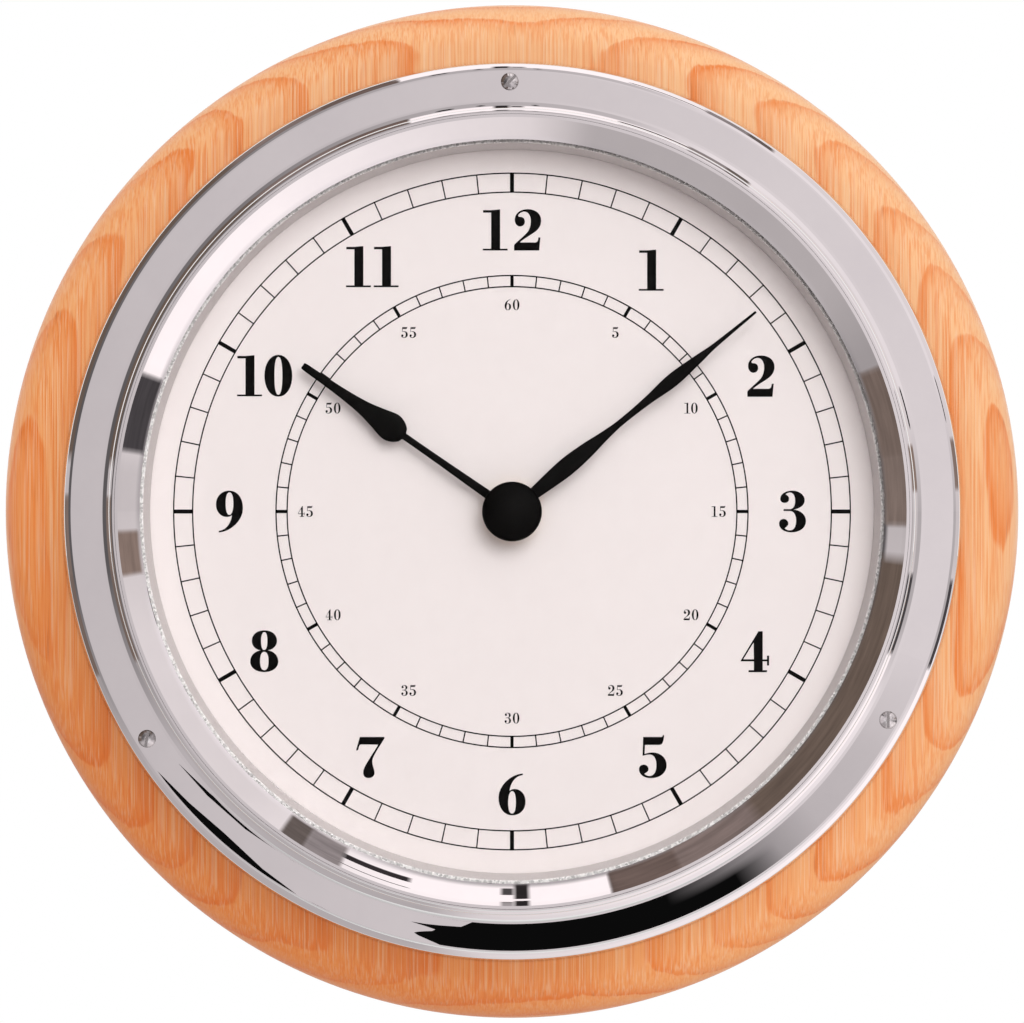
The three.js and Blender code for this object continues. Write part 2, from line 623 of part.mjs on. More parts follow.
function addHands() {
  const minuteHub = rod(HAND_HUB, minuteBack, minuteFront, centre, HUB_SIDES);
  const minuteBore = rod(MINUTE_TIP + FIT, minuteBack - SEAT, minuteFront + SEAT);
  const minuteBlade = blade(edges(MINUTE_OUTLINE), minuteBack, minuteFront);
  add('minute_hand', turnedToTime(cut(join(minuteHub, minuteBlade), minuteBore), MINUTE_ANGLE),
    blackPaint);
  const pipeRadius = MINUTE_ARBOR + RUN + HOUR_PIPE_WALL;
  const hourHub = rod(HAND_HUB, hourBack, hourFront, centre, HUB_SIDES);
  const hourBore = rod(pipeRadius + FIT, hourBack - SEAT, hourFront + SEAT, centre, HUB_SIDES);
  const hourEdge = [...edges(HOUR_STEM), ...edges(HOUR_PEAR)];
  const hourBlade = blade(hourEdge, hourFront - HOUR_BLADE, hourFront);
  add('hour_hand', turnedToTime(cut(join(hourHub, hourBlade), hourBore), HOUR_ANGLE), blackPaint);
  const socket = MINUTE_TIP + FIT;
  const socketEnd = minuteTipEnd + SEAT;
  add('hand_cap', turned([[0, socketEnd], [socket, socketEnd], [socket, capBack],
    ...dome(CAP_RADIUS, CAP_HEIGHT, capBack)], HUB_SIDES), blackPaint);
}

// Notches in the wall over the battery's bay let the contact strips through to the circuit
const circuitRight = halfWidth - WALL - SEAT;
const circuitLeft = circuitRight - CIRCUIT_WIDTH;
const stripLevel = level(WALL + SEAT, CONTACT_THICKNESS);
const tabSplit = (circuitLeft + circuitRight) / 2;
const minusTab = { left: tabSplit - SEAT - CONTACT_STRIP, right: tabSplit - SEAT };
const plusTab = { left: tabSplit + SEAT, right: tabSplit + SEAT + CONTACT_STRIP };
const circuitLevel = level(stripLevel.back + SEAT, CIRCUIT_THICKNESS);
const circuitFoot = roomFloor + SEAT;

// Posts that carry the bridge stand outside the wheels
const bridgeLeft = minuteWheel.x - tipRadius(MINUTE_TEETH, minuteModule, WHEEL_ADDENDUM) / 2
  - POST_RADIUS - BRIDGE_MARGIN;
const bridgeRight = circuitLeft - SEAT;
const bridgeFoot = roomFloor + SEAT;
const bridgeTop = rotor.y + BRIDGE_MARGIN;
const postInset = POST_RADIUS + SEAT;
const posts = [
  new THREE.Vector2(bridgeLeft + postInset, bridgeFoot + postInset),
  new THREE.Vector2(bridgeRight - postInset, bridgeFoot + postInset),
  new THREE.Vector2(bridgeRight - postInset, bridgeTop - postInset),
  new THREE.Vector2(bridgeLeft + postInset, bridgeTop - postInset),
];

function addMovementCase() {
  const shell = prism(roundedPlate(-halfWidth, halfWidth, movementFoot, TRAIN_ROOM_HEIGHT, CORNER_ROUND),
    behind(wallBack), movementFront);
  const roomSpan = halfWidth - WALL;
  const room = prism(roundedPlate(-roomSpan, roomSpan, roomFloor, roomTop, CORNER_ROUND - WALL),
    behind(wallBack + SEAT), behind(WALL));
  const bay = block(-roomSpan, roomSpan, bayFloor, bayTop, behind(wallBack + SEAT), behind(WALL));
  const notches = [minusTab, plusTab].map(({ left, right }) => block(left - SEAT, right + SEAT,
    bayTop - SEAT, roomFloor + SEAT, behind(stripLevel.back + SEAT), behind(WALL)));
  const bush = rod(BUSH_RADIUS, behind(WALL), bushEnd, centre, HUB_SIDES);
  const bore = rod(MINUTE_ARBOR + RUN + HOUR_PIPE_WALL + RUN, behind(WALL + SEAT), bushEnd + SEAT,
    centre, HUB_SIDES);
  const pillars = posts.flatMap((place) => [
    rod(POST_RADIUS, behind(bridgeLevel.front - SEAT), behind(WALL / 2), place),
    rod(POST_PIN, behind(bridgeLevel.back), behind(WALL / 2), place),
  ]);
  const hollow = cut(shell, room, bay, ...notches);
  const bearings = [third, minuteWheel].map((place) => rod(PIVOT + RUN, behind(WALL + SEAT),
    behind(WALL / 4), place));
  const body = cut(join(hollow, bush, ...pillars), bore, ...bearings);
  add('movement_front_case', body, blackPlastic);
  const cover = prism(roundedPlate(-halfWidth, halfWidth, bayTop, TRAIN_ROOM_HEIGHT, CORNER_ROUND),
    ...inLevel(coverLevel));
  const settingHole = rod(SETTING_SHAFT + RUN, behind(coverLevel.back + SEAT),
    behind(coverLevel.front - SEAT), minuteWheel);
  const pivots = [centre, third, fifth, rotor].map((place) => pivotHole(place, coverLevel));
  add('movement_rear_cover', cut(cover, settingHole, ...pivots), blackPlastic);
}

function addDialFixing() {
  const nut = tube(BUSH_RADIUS + FIT, BUSH_NUT_RADIUS, nutBack, nutBack + BUSH_NUT_THICKNESS, HUB_SIDES);
  const slot = block(-BUSH_NUT_RADIUS - SEAT, BUSH_NUT_RADIUS + SEAT, -BUSH_NUT_SLOT / 2,
    BUSH_NUT_SLOT / 2, nutBack + BUSH_NUT_THICKNESS / 2, nutBack + BUSH_NUT_THICKNESS + SEAT);
  add('bush_nut', cut(nut, slot), brass);
  add('dial_washer', tube(BUSH_RADIUS + SEAT, WASHER_RADIUS, washerBack, washerBack + WASHER_THICKNESS,
    HUB_SIDES), paleRubber);
}

function addMotionWork() {
  const cannonBack = behind(minuteLevel.back + PINION_OVERLAP);
  const journalEnd = behind(bridgeLevel.back);
  const shaft = turned([[0, journalEnd], [MINUTE_JOURNAL, journalEnd], [MINUTE_JOURNAL, cannonBack],
    [MINUTE_ARBOR, cannonBack], [MINUTE_ARBOR, minuteBack - SEAT], [MINUTE_TIP, minuteBack - SEAT],
    [MINUTE_TIP, minuteTipEnd], [0, minuteTipEnd]], PIN_SIDES);
  const cannon = pinion(CANNON_LEAVES, minuteModule, centre, minuteWheel, minuteLevel);
  const secondBearing = rod(PIVOT + RUN, behind(bridgeLevel.back + SEAT), behind(centreLevel.front));
  add('minute_arbor', cut(join(shaft, cannon), secondBearing), steel);
  add('clutch_spring', tube(MINUTE_JOURNAL + FIT, 2 * MINUTE_JOURNAL, ...inLevel(clutchLevel), PIN_SIDES),
    steel);
  const pipeBore = MINUTE_ARBOR + RUN;
  const pipe = rod(pipeBore + HOUR_PIPE_WALL, behind(hourLevel.back), hourFront - SEAT, centre, HUB_SIDES);
  const hourGear = wheel(HOUR_TEETH, hourModule, centre, minuteWheel, hourLevel);
  const through = rod(pipeBore, behind(hourLevel.back + SEAT), hourFront, centre, HUB_SIDES);
  add('hour_wheel', cut(join(hourGear, pipe), through), whitePlastic);
  const shaftFront = behind(minuteLevel.front);
  const shaftEnd = behind(knobLevel.back - SEAT);
  const pivotShoulder = behind(WALL + END_SHAKE);
  const settingArbor = turned([[0, shaftEnd], [SETTING_SHAFT, shaftEnd], [SETTING_SHAFT, shaftFront],
    [ARBOR, shaftFront], [ARBOR, pivotShoulder], [PIVOT, pivotShoulder], [PIVOT, behind(WALL / 2)],
    [0, behind(WALL / 2)]], PIN_SIDES).translate(minuteWheel.x, minuteWheel.y, 0);
  const minuteGear = wheel(MINUTE_TEETH, minuteModule, minuteWheel, centre, minuteLevel);
  const hourPinion = pinion(MINUTE_LEAVES, hourModule, minuteWheel, centre,
    { front: hourLevel.front, back: minuteLevel.front });
  add('minute_wheel', join(minuteGear, hourPinion, settingArbor), whitePlastic);
  const knob = new THREE.Shape();
  const flutePoints = 4 * KNOB_FLUTES;
  for (let step = 0; step < flutePoints; step += 1) {
    const wave = KNOB_FLUTE_DEPTH * (1 - Math.cos(2 * Math.PI * KNOB_FLUTES * step / flutePoints)) / 2;
    const point = polar(360 * step / flutePoints, KNOB_RADIUS - wave, minuteWheel);
    if (step) knob.lineTo(point.x, point.y);
    else knob.moveTo(point.x, point.y);
  }
  const socket = rod(SETTING_SHAFT + FIT, behind(knobLevel.back) - SEAT, behind(knobLevel.front) + SEAT,
    minuteWheel);
  add('setting_knob', cut(prism(knob, ...inLevel(knobLevel)), socket), blackPlastic);
}

function addGoingTrain() {
  const centreGear = wheel(CENTRE_TEETH, centreModule, centre, third, centreLevel);
  const clutchBore = rod(MINUTE_JOURNAL + RUN, behind(centreLevel.back + SEAT),
    behind(centreLevel.front - SEAT));
  add('centre_wheel', cut(centreGear, clutchBore), brass);
  add('third_wheel', join(arbor(third, frontPlate, coverLevel),
    wheel(THIRD_TEETH, THIRD_MODULE, third, centre, thirdLevel),
    pinion(LEAVES, centreModule, third, centre, centreLevel)), whitePlastic);
  add('second_wheel', join(arbor(centre, bridgeLevel, coverLevel),
    wheel(SECOND_TEETH, SECOND_MODULE, centre, fifth, secondLevel),
    pinion(LEAVES, THIRD_MODULE, centre, third, thirdLevel)), whitePlastic);
  add('fifth_wheel', join(arbor(fifth, bridgeLevel, coverLevel),
    wheel(FIFTH_TEETH, ROTOR_MODULE, fifth, rotor, fifthLevel),
    pinion(LEAVES, SECOND_MODULE, fifth, centre, secondLevel)), whitePlastic);
  add('rotor_pinion', join(arbor(rotor, bridgeLevel, coverLevel),
    pinion(LEAVES, ROTOR_MODULE, rotor, fifth, fifthLevel)), whitePlastic);
  const magnet = tube(ARBOR + FIT, MAGNET_RADIUS, ...inLevel(magnetLevel), PIN_SIDES);
  add('rotor_magnet', magnet.translate(rotor.x, rotor.y, 0), magnetGrey);
}

// The stator's bar goes round the magnet, and its two ears carry the coil's core
const earLeft = rotor.x - STATOR_HALF_SPAN;
const earRight = rotor.x + STATOR_HALF_SPAN;
const coilHeight = rotor.y + COIL_RISE;
const earTop = coilHeight + CORE_WIDTH / 2;
const barReach = MAGNET_RADIUS + STATOR_GAP + STATOR_ARM / 4;

function addBridge() {
  const plate = prism(roundedPlate(bridgeLeft, bridgeRight, bridgeFoot, bridgeTop, POST_RADIUS),
    ...inLevel(bridgeLevel));
  const studReach = STATOR_ARM / 4;
  const studHeight = bridgeTop - studReach - SEAT;
  const studs = [bridgeLeft + STATOR_ARM, bridgeRight - STATOR_ARM].map((x) => rod(studReach,
    behind(statorLevel.front - SEAT), behind(bridgeLevel.front + SEAT), new THREE.Vector2(x, studHeight)));
  const back = behind(bridgeLevel.back + SEAT);
  const front = behind(bridgeLevel.front - SEAT);
  const holes = [
    ...posts.map((place) => rod(POST_PIN + FIT, back, front, place)),
    ...[fifth, rotor].map((place) => rod(PIVOT + RUN, back, front, place)),
    rod(MINUTE_JOURNAL + RUN, back, front),
    rod(ARBOR + LEVEL_GAP, back, front, third),
    rod(SETTING_SHAFT + LEVEL_GAP, back, front, minuteWheel),
  ];
  add('train_bridge', cut(join(plate, ...studs), ...holes), whitePlastic);
}

function addMotor() {
  const [back, front] = inLevel(statorLevel);
  const bar = block(earLeft, earRight, rotor.y - barReach, rotor.y + barReach, back, front);
  const leftEar = block(earLeft, earLeft + STATOR_ARM, rotor.y, earTop, back, front);
  const rightEar = block(earRight - STATOR_ARM, earRight, rotor.y, earTop, back, front);
  const air = rod(MAGNET_RADIUS + STATOR_GAP, back - SEAT, front + SEAT, rotor, HUB_SIDES);
  add('stator', cut(join(bar, leftEar, rightEar), air), steel);
  add('coil_core', block(earLeft, earRight, coilHeight - CORE_WIDTH / 2, earTop, ...inLevel(coreLevel)),
    steel);
  const bobbinBore = Math.hypot(CORE_WIDTH, CORE_THICKNESS) / 2 + FIT;
  const barrel = bobbinBore + BOBBIN_WALL;
  const end = COIL_LENGTH / 2;
  const cheek = end - BOBBIN_FLANGE;
  const coilDepth = behind((coreLevel.front + coreLevel.back) / 2);
  const alongCore = (geometry) => geometry.rotateY(Math.PI / 2).translate(rotor.x, coilHeight, coilDepth);
  add('coil_bobbin', alongCore(turned([[bobbinBore, -end], [COIL_RADIUS, -end], [COIL_RADIUS, -cheek],
    [barrel, -cheek], [barrel, cheek], [COIL_RADIUS, cheek], [COIL_RADIUS, end], [bobbinBore, end]],
  PIN_SIDES)), whitePlastic);
  add('coil_winding', alongCore(tube(barrel + FIT, COIL_RADIUS - FIT, -cheek + SEAT, cheek - SEAT,
    PIN_SIDES)), copper);
}

function addCircuit() {
  const [boardBack, boardFront] = inLevel(circuitLevel);
  const top = circuitFoot + CIRCUIT_LENGTH;
  const outline = roundedPlate(circuitLeft, circuitRight, circuitFoot, top, CORNER_ROUND - WALL);
  add('circuit_board', prism(outline, boardBack, boardFront), boardGreen);
  const middle = (circuitLeft + circuitRight) / 2;
  const chipTop = top - CIRCUIT_LENGTH / 2;
  add('driver_chip', block(middle - CHIP_SIZE / 2, middle + CHIP_SIZE / 2, chipTop - CHIP_SIZE, chipTop,
    boardBack - SEAT - CHIP_HEIGHT, boardBack - SEAT), blackPlastic);
  const can = rod(CRYSTAL_RADIUS, 0, CRYSTAL_LENGTH).rotateX(-Math.PI / 2);
  can.translate(middle, chipTop + SEAT, boardBack - SEAT - CRYSTAL_RADIUS);
  add('quartz_crystal', can, steel);
}

function addBattery() {
  const start = -BATTERY_LENGTH / 2 - BATTERY_NUB_LENGTH / 2;
  const jacketEnd = start + BATTERY_LENGTH;
  const nubEnd = jacketEnd + BATTERY_NUB_LENGTH;
  const cell = turned([[0, start], [BATTERY_RADIUS, start], [BATTERY_RADIUS, jacketEnd],
    [BATTERY_NUB_RADIUS, jacketEnd], [BATTERY_NUB_RADIUS, nubEnd], [0, nubEnd]], HUB_SIDES);
  const batteryMiddle = behind(batteryFront + BATTERY_RADIUS);
  add('battery', cell.rotateY(Math.PI / 2).translate(0, batteryHeight, batteryMiddle), cellJacket);
  const [stripBack, stripFront] = inLevel(stripLevel);
  const plateBottom = batteryHeight - CONTACT_WIDTH / 2;
  const plateBack = batteryMiddle - CONTACT_WIDTH / 2;
  const wallFace = halfWidth - WALL - SEAT / 2;
  const plateFace = wallFace - CONTACT_THICKNESS;
  const stripBottom = bayTop - SEAT - CONTACT_STRIP;
  const tabTop = circuitFoot + CONTACT_STRIP;
  const plusPlate = block(plateFace, wallFace, plateBottom, bayTop - SEAT, plateBack, stripFront);
  const plusStrip = block(plusTab.left, wallFace, stripBottom, bayTop - SEAT, stripBack, stripFront);
  const plusLead = block(plusTab.left, plusTab.right, stripBottom, tabTop, stripBack, stripFront);
  add('contact_plus', join(plusPlate, plusStrip, plusLead), brass);
  const minusPlate = block(-wallFace, -plateFace, plateBottom, bayTop - SEAT, plateBack, stripFront);
  const minusStrip = block(-wallFace, minusTab.right, stripBottom, bayTop - SEAT, stripBack, stripFront);
  const minusLead = block(minusTab.left, minusTab.right, stripBottom, tabTop, stripBack, stripFront);
  add('contact_minus', join(minusPlate, minusStrip, minusLead), steel);
}

addBackingBoard();
addHanger();
addCaseBody();
addWindow();
addHands();
addMovementCase();
addDialFixing();
addMotionWork();
addGoingTrain();
addBridge();
addMotor();
addCircuit();
addBattery();

export default clock;
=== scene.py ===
import json
import math

import bmesh
import bpy
from bpy.props import FloatProperty, FloatVectorProperty, IntProperty, PointerProperty
from mathutils import Matrix, Vector


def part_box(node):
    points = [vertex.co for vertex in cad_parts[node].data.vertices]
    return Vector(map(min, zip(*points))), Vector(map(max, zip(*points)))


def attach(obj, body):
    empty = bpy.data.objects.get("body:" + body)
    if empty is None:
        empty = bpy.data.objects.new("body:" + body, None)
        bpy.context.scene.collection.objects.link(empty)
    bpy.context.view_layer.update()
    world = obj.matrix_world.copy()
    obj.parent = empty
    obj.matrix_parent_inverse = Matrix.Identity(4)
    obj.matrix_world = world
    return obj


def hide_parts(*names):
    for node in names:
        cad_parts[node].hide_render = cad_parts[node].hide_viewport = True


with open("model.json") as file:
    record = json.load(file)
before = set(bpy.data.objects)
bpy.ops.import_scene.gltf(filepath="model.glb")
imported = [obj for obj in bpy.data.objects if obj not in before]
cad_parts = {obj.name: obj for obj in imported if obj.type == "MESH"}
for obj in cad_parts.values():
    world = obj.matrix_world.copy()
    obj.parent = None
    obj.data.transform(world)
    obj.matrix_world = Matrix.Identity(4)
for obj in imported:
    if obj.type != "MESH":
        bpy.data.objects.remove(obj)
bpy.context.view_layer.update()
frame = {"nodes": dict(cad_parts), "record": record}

bl_info = {
    "name": "Ship's clock",
    "version": (1, 0, 0),
    "blender": (4, 5, 0),
    "location": "View3D > Sidebar > Ship's clock",
    "description": "Dresses the packed solids of a ship's clock on a turned board",
    "category": "Object",
}

MM = 0.001
STAND_UP = Matrix.Rotation(math.radians(90), 4, "X")  # from the dial's plane to the wall's
CASE_BODY = "clock_case"
CUT_OVER = 1 * MM  # how far a cutting shape reaches past the surface
SEAT_PLAY = 0.25 * MM  # play between two pieces that are set into each other
SHANK_PLAY = 0.15 * MM  # play round a screw's shank
# Sides of the turned pieces
RING_SIDES = 256
BOARD_SIDES = 240
DISC_SIDES = 192
ROOM_SIDES = 180
CAP_SIDES = 96
SCREW_SIDES = 48


def reach(node):
    """Back, front and radius of a turned node, measured from the wall towards the viewer."""
    low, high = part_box(node)
    return -high.y, -low.y, high.x


BOARD_BACK, BOARD_FRONT, BOARD_RADIUS = reach("backing_board")
FLANGE_BACK, RIM_FRONT, FLANGE_RADIUS = reach("case_body")
BEZEL_BACK, BEZEL_FRONT, BEZEL_RADIUS = reach("bezel_ring")
GLASS_BACK, GLASS_FRONT, GLASS_RADIUS = reach("glass")
SEAL_BACK, SEAL_FRONT, SEAL_RADIUS = reach("glass_seal")
REHAUT_BACK, REHAUT_FRONT, REHAUT_RADIUS = reach("rehaut_ring")
DIAL_BACK, DIAL_FRONT, DIAL_RADIUS = reach("dial_plate")
HOUR_BACK, HOUR_FRONT, _ = reach("hour_hand")
MINUTE_BACK, MINUTE_FRONT, _ = reach("minute_hand")
CAP_BACK, CAP_FRONT, CAP_RADIUS = reach("hand_cap")
HANGER_BACK, HANGER_FRONT, HANGER_REACH = reach("hanger_plate")

# Figures of the dial, drawn on a grid of 100 from foot to head. A word a~b is a + b times the lightness.
FIGURES = {
    "0": (68, "M 34 101.3 C 55 101.3 68 78 68 50.1 C 68 22 55 -1 34 -1 C 13 -1 0 22 0 50.1"
              " C 0 78 13 101.3 34 101.3"
              " M 34 96.2 C 41~7 96.2 43.8~10 78 43.8~10 50.1 C 43.8~10 22 41~7 3.7 34 3.7"
              " C 27~-7 3.7 24.4~-10 22 24.4~-10 50.1 C 24.4~-10 78 27~-7 96.2 34 96.2"),
    "1": (60.7, "M 0 0 L 60.7 0 L 60.7 4.3 L 42.4~-5 4.3 L 42.4~-5 100.5 L 20.4 98.6 L 0.7 98.6"
                " L 0.7 92.5 L 20.4~5 92.5 L 20.4~5 4.3 L 0 4.3"),
    "2": (67.1, "M 0.7 0 L 62.1 0 L 65 31.9 L 60 31.9 C 59.5 23~-6 57.5 19.6~-7 51 19.6~-7"
                " L 14.6~-3 19.6~-7 C 24 28~-2 38~3 36 49.3~3 43.6 C 58~2 49.5 67.1 58 67.1 73.6"
                " C 67.1 90 53 101 34.3 101 C 15 101 2.4 90 2.4 75 C 2.4 66 8 58.7 15 58.7"
                " C 22 58.7 27.1 63.5 27.1 70.4 C 27.1 77.5 23 81.5 17.9 81.9"
                " C 14 82 11.5 82.5 10.7 84.3 C 10.5 88 18 95 25.7~4 95"
                " C 36~8 95 41.7~11 84 41.7~11 72.1 C 41.7~11 62 39~9 51.5 32.9~7 44.3"
                " C 24~4 34 8 22~-4 0.7 13.6~-6"),
    "3": (66.2, "M 3.1 81.1 C 3.1 92 16 101.1 32.4 101.1 C 49 101.1 63.1 91 63.1 77.6"
                " C 63.1 64 50 57.5 36.6 54.6 C 53 53 66.2 42 66.2 26.9 C 66.2 9 50 -1 30.3 -1"
                " C 13 -1 0.3 8 0.3 20.6 C 0.3 27 5 31.8 11.5 31.8 C 18 31.8 23 27 23 20.6"
                " C 23 14.5 17 12 14.4 9 C 17 5.5 22 3.9 26.8~3 3.9 C 37~8 3.9 42~10 14 42~10 27.6"
                " C 42~10 41 37~8 51.1 26.8 51.1 L 12.4 51.1 C 10.5 51.1 10.5 55.8 12.4 55.8"
                " L 26.8 55.8 C 35~7 55.8 39.7~10 64 39.7~10 75.5 C 39.7~10 89 34.5~8 96.3 26.8~3 96.3"
                " C 22 96.3 18 94 16.9 91.4 C 22 89.5 24.9 85.5 24.9 80.4 C 24.9 75 20 71 14.1 71"
                " C 8 71 3.1 75 3.1 81.1"),
    "4": (70.2, "M 0.7 28 L 44 100 L 54.6~-5 100 L 54.6~-5 31.2 L 65 31.2 L 65 40.4 L 70.2 40.4"
                " L 70.2 16.3 L 65 16.3 L 65 26.5 L 54.6~-5 26.5 L 54.6~-5 5 L 65 5 L 65 0 L 19.9 0"
                " L 19.9 5 L 32.9~5 5 L 32.9~5 26.5 L 0.7 26.5"
                " M 7.1 31.5 L 32.3~5 72.3~8 L 32.9~5 31.5"),
    "5": (68.1, "M 10.6 99.7 L 55.3 99.7 C 57.5 99.7 58.2 102 58.9 104.3 L 62 104.3"
                " C 61.5 98 60.5 90 58.2 85.5~5 C 56.5 81.5~6 53 80.3~7 49.6 80.3~7 L 15.2 80.3~7"
                " L 14.2 57.9 C 20 60.5 27 61.7 34 61.7 C 54 61.7 68.1 48 68.1 30.9"
                " C 68.1 12 52 -1 29.8 -1 C 12 -1 0.4 8 0.4 21 C 0.4 27.5 5.5 32.1 12.3 32.1"
                " C 19 32.1 23.7 27 23.7 21 C 23.7 14.5 17 12 13.5 9.9 C 17 6 21.5 4.4 26.2~3 4.4"
                " C 37.5~8 4.4 43~10 15 43~10 30.9 C 43~10 47 36.5~7 56.7 26.2~3 56.7"
                " C 20 56.7 14 55.3 9.2 53.2"),
    "6": (66.4, "M 58.7 101.3 C 30 99 0.3 72 0.3 42.8 C 0.3 15 15 -1 33.6 -1 C 53 -1 66.4 13 66.4 33"
                " C 66.4 50 55 63.5 39.9 63.5 C 34.5 63.5 30~-3 61.5 27.3~-7 58.9"
                " C 29~-5 78 42~-3 95.5 58 97 C 60.5 98 60.5 100.8 58.7 101.3"
                " M 33.6 58.2 C 40.5~6 58.2 42.7~9 45 42.7~9 30.2 C 42.7~9 14 40~6 3.4 33.3 3.4"
                " C 26.5~-6 3.4 23.8~-9 14 23.8~-9 30.2 C 23.8~-9 45 27~-6 58.2 33.6 58.2"),
    "7": (69.6, "M 9.3 99.7 L 69.3 99.7 L 69.6 96.4 C 56 74 43 56 40 43.6 C 38.5 30 45.3 22 45.3 12.1"
                " C 45.3 4 39 -0.7 30.7 -0.7 C 22.5 -0.7 17.6 4 17.6 12.1 C 17.6 25 28 38 35 50"
                " C 41 60 49 71 53.9 81 L 12.9 81.4 C 8.5 81.4 7.5 77 5.7 69.3 C 4.5 66.5 1 66 0.3 67.6"),
    "8": (69, "M 34.8 101.1 C 53 101.1 65.9 91 65.9 75.5 C 65.9 63 56 54 43.7 52.3"
              " C 58 50 69 39.5 69 24.8 C 69 9 54 -1 34.5 -1 C 15 -1 0.3 9 0.3 24.8"
              " C 0.3 39.5 11 50 25.4 52.3 C 13 54 4.2 63 4.2 75.5 C 4.2 91 17 101.1 34.8 101.1"
              " M 34.8 96.6 C 40.5 96.6 42.3 87 42.3 75.5 C 42.3 62 40 53 34.5 53"
              " C 29 53 26.8 62 26.8 75.5 C 26.8 87 29.5 96.6 34.8 96.6"
              " M 34.5 48.7 C 42.5 48.7 45.1 38 45.1 25.5 C 45.1 12 42 3.7 34.8 3.7"
              " C 27.5 3.7 24.4 12 24.4 25.5 C 24.4 38 27 48.7 34.5 48.7"),
}
FIGURE_GRID = 100
TURNED_FIGURES = {"9": "6"}  # a nine is a six turned half round
CLOSE_PAIRS = {"10": 6, "11": 7}
SMALL_SPREAD = 4  # more room between light figures
# How far the hour numerals are set off the even circle for the eye, in millimetres
NUMERAL_SHIFTS = {
    1: (-0.3, -0.5), 2: (1.0, -1.1), 3: (-0.2, 0), 4: (-0.2, 0.1), 5: (0, -0.4), 6: (0, -0.3),
    7: (-0.2, -0.4), 8: (-0.8, 0.2), 9: (-0.2, 0), 10: (-0.7, -1.0), 11: (0.2, 0.2), 12: (0, 0),
}

# Hands, with half widths at distances from the centre, in millimetres
MINUTE_OUTLINE = [
    (4, 1.05), (11.2, 1.68), (15, 1.8), (19.4, 1.48), (23.7, 0.94), (28, 0.64), (34.5, 0.83),
    (40.9, 1.34), (47, 0.93), (51, 0.53), (55.5, 0.38), (62.2, 0.24),
]
HOUR_STEM = [(4, 0.93), (19, 0.7), (26, 0.68)]
HOUR_PEAR = [
    (26.3, 1.5), (27.5, 2.4), (29.4, 2.83), (32.4, 2.15), (35.6, 1.48), (39.9, 1.05), (44.7, 0.84),
    (49.7, 0.72), (50.4, 0.45),
]


def length(name, description, default):
    return FloatProperty(name=name, description=description, default=default, min=0, unit="LENGTH")


def colour(name, description, default):
    return FloatVectorProperty(name=name, description=description, default=default, min=0, max=1,
                               subtype="COLOR")


def angle(name, description, default):
    return FloatProperty(name=name, description=description, default=math.radians(default),
                         subtype="ANGLE")


class ClockBoardSettings(bpy.types.PropertyGroup):
    """Sizes and colours of the wooden board and its hanger"""

    front_round: length("Front round", "Bull nose round the board's front", 9 * MM)
    back_round: length("Back round", "Round along the board's back edge", 5 * MM)
    heart_depth: length("Heart depth", "Depth of the tree's heart behind the board's front", 150 * MM)
    ring_spacing: length("Ring spacing", "Distance between two growth rings", 4.2 * MM)
    pale_wood: colour("Early wood", "Palest colour of the rings", (1.0, 0.57, 0.29))
    light_wood: colour("Light fibres", "Colour of the lightest fibres", (1.0, 0.68, 0.44))
    ring_wood: colour("Late wood", "Colour of the rings' late wood", (0.94, 0.335, 0.085))
    deep_wood: colour("Ring edge", "Colour of the rings' sharp edges", (0.86, 0.21, 0.03))
    pore_wood: colour("Pores", "Colour of the open pores", (0.42, 0.105, 0.025))
    # Painted shade for the board's lower left, which faces away from the key light
    side_tone: colour("Darker side", "Tone towards the board's lower left", (0.87, 0.77, 0.72))
    recess_margin: length("Recess margin", "Play of the hanger plate in its recess", 0.25 * MM)
    plate_corner: length("Plate corner", "Corner round of the hanger plate", 3 * MM)
    plate_edge: length("Plate edge", "Round of the hanger plate's and its screws' edges", 0.1 * MM)
    hanger_taper: length("Hanger screw taper", "From a hanger screw's head in to its shank", 0.95 * MM)
    hanger_play: length("Hanger screw play", "Play round a hanger screw's shank", 0.2 * MM)
    keyhole_radius: length("Keyhole", "Radius of the keyhole's entry", 5 * MM)
    keyhole_slot: length("Keyhole slot", "Width of the slot above the entry", 5 * MM)
    keyhole_travel: length("Keyhole travel", "From the entry to the slot's end", 7 * MM)
    pocket_depth: length("Pocket depth", "Room for the nail's head in the board", 5.5 * MM)
    pocket_margin: length("Pocket margin", "Room round the nail's head", 1 * MM)
    pilot_rest: length("Pilot rest", "How much shorter a pilot hole is than its screw", 2 * MM)


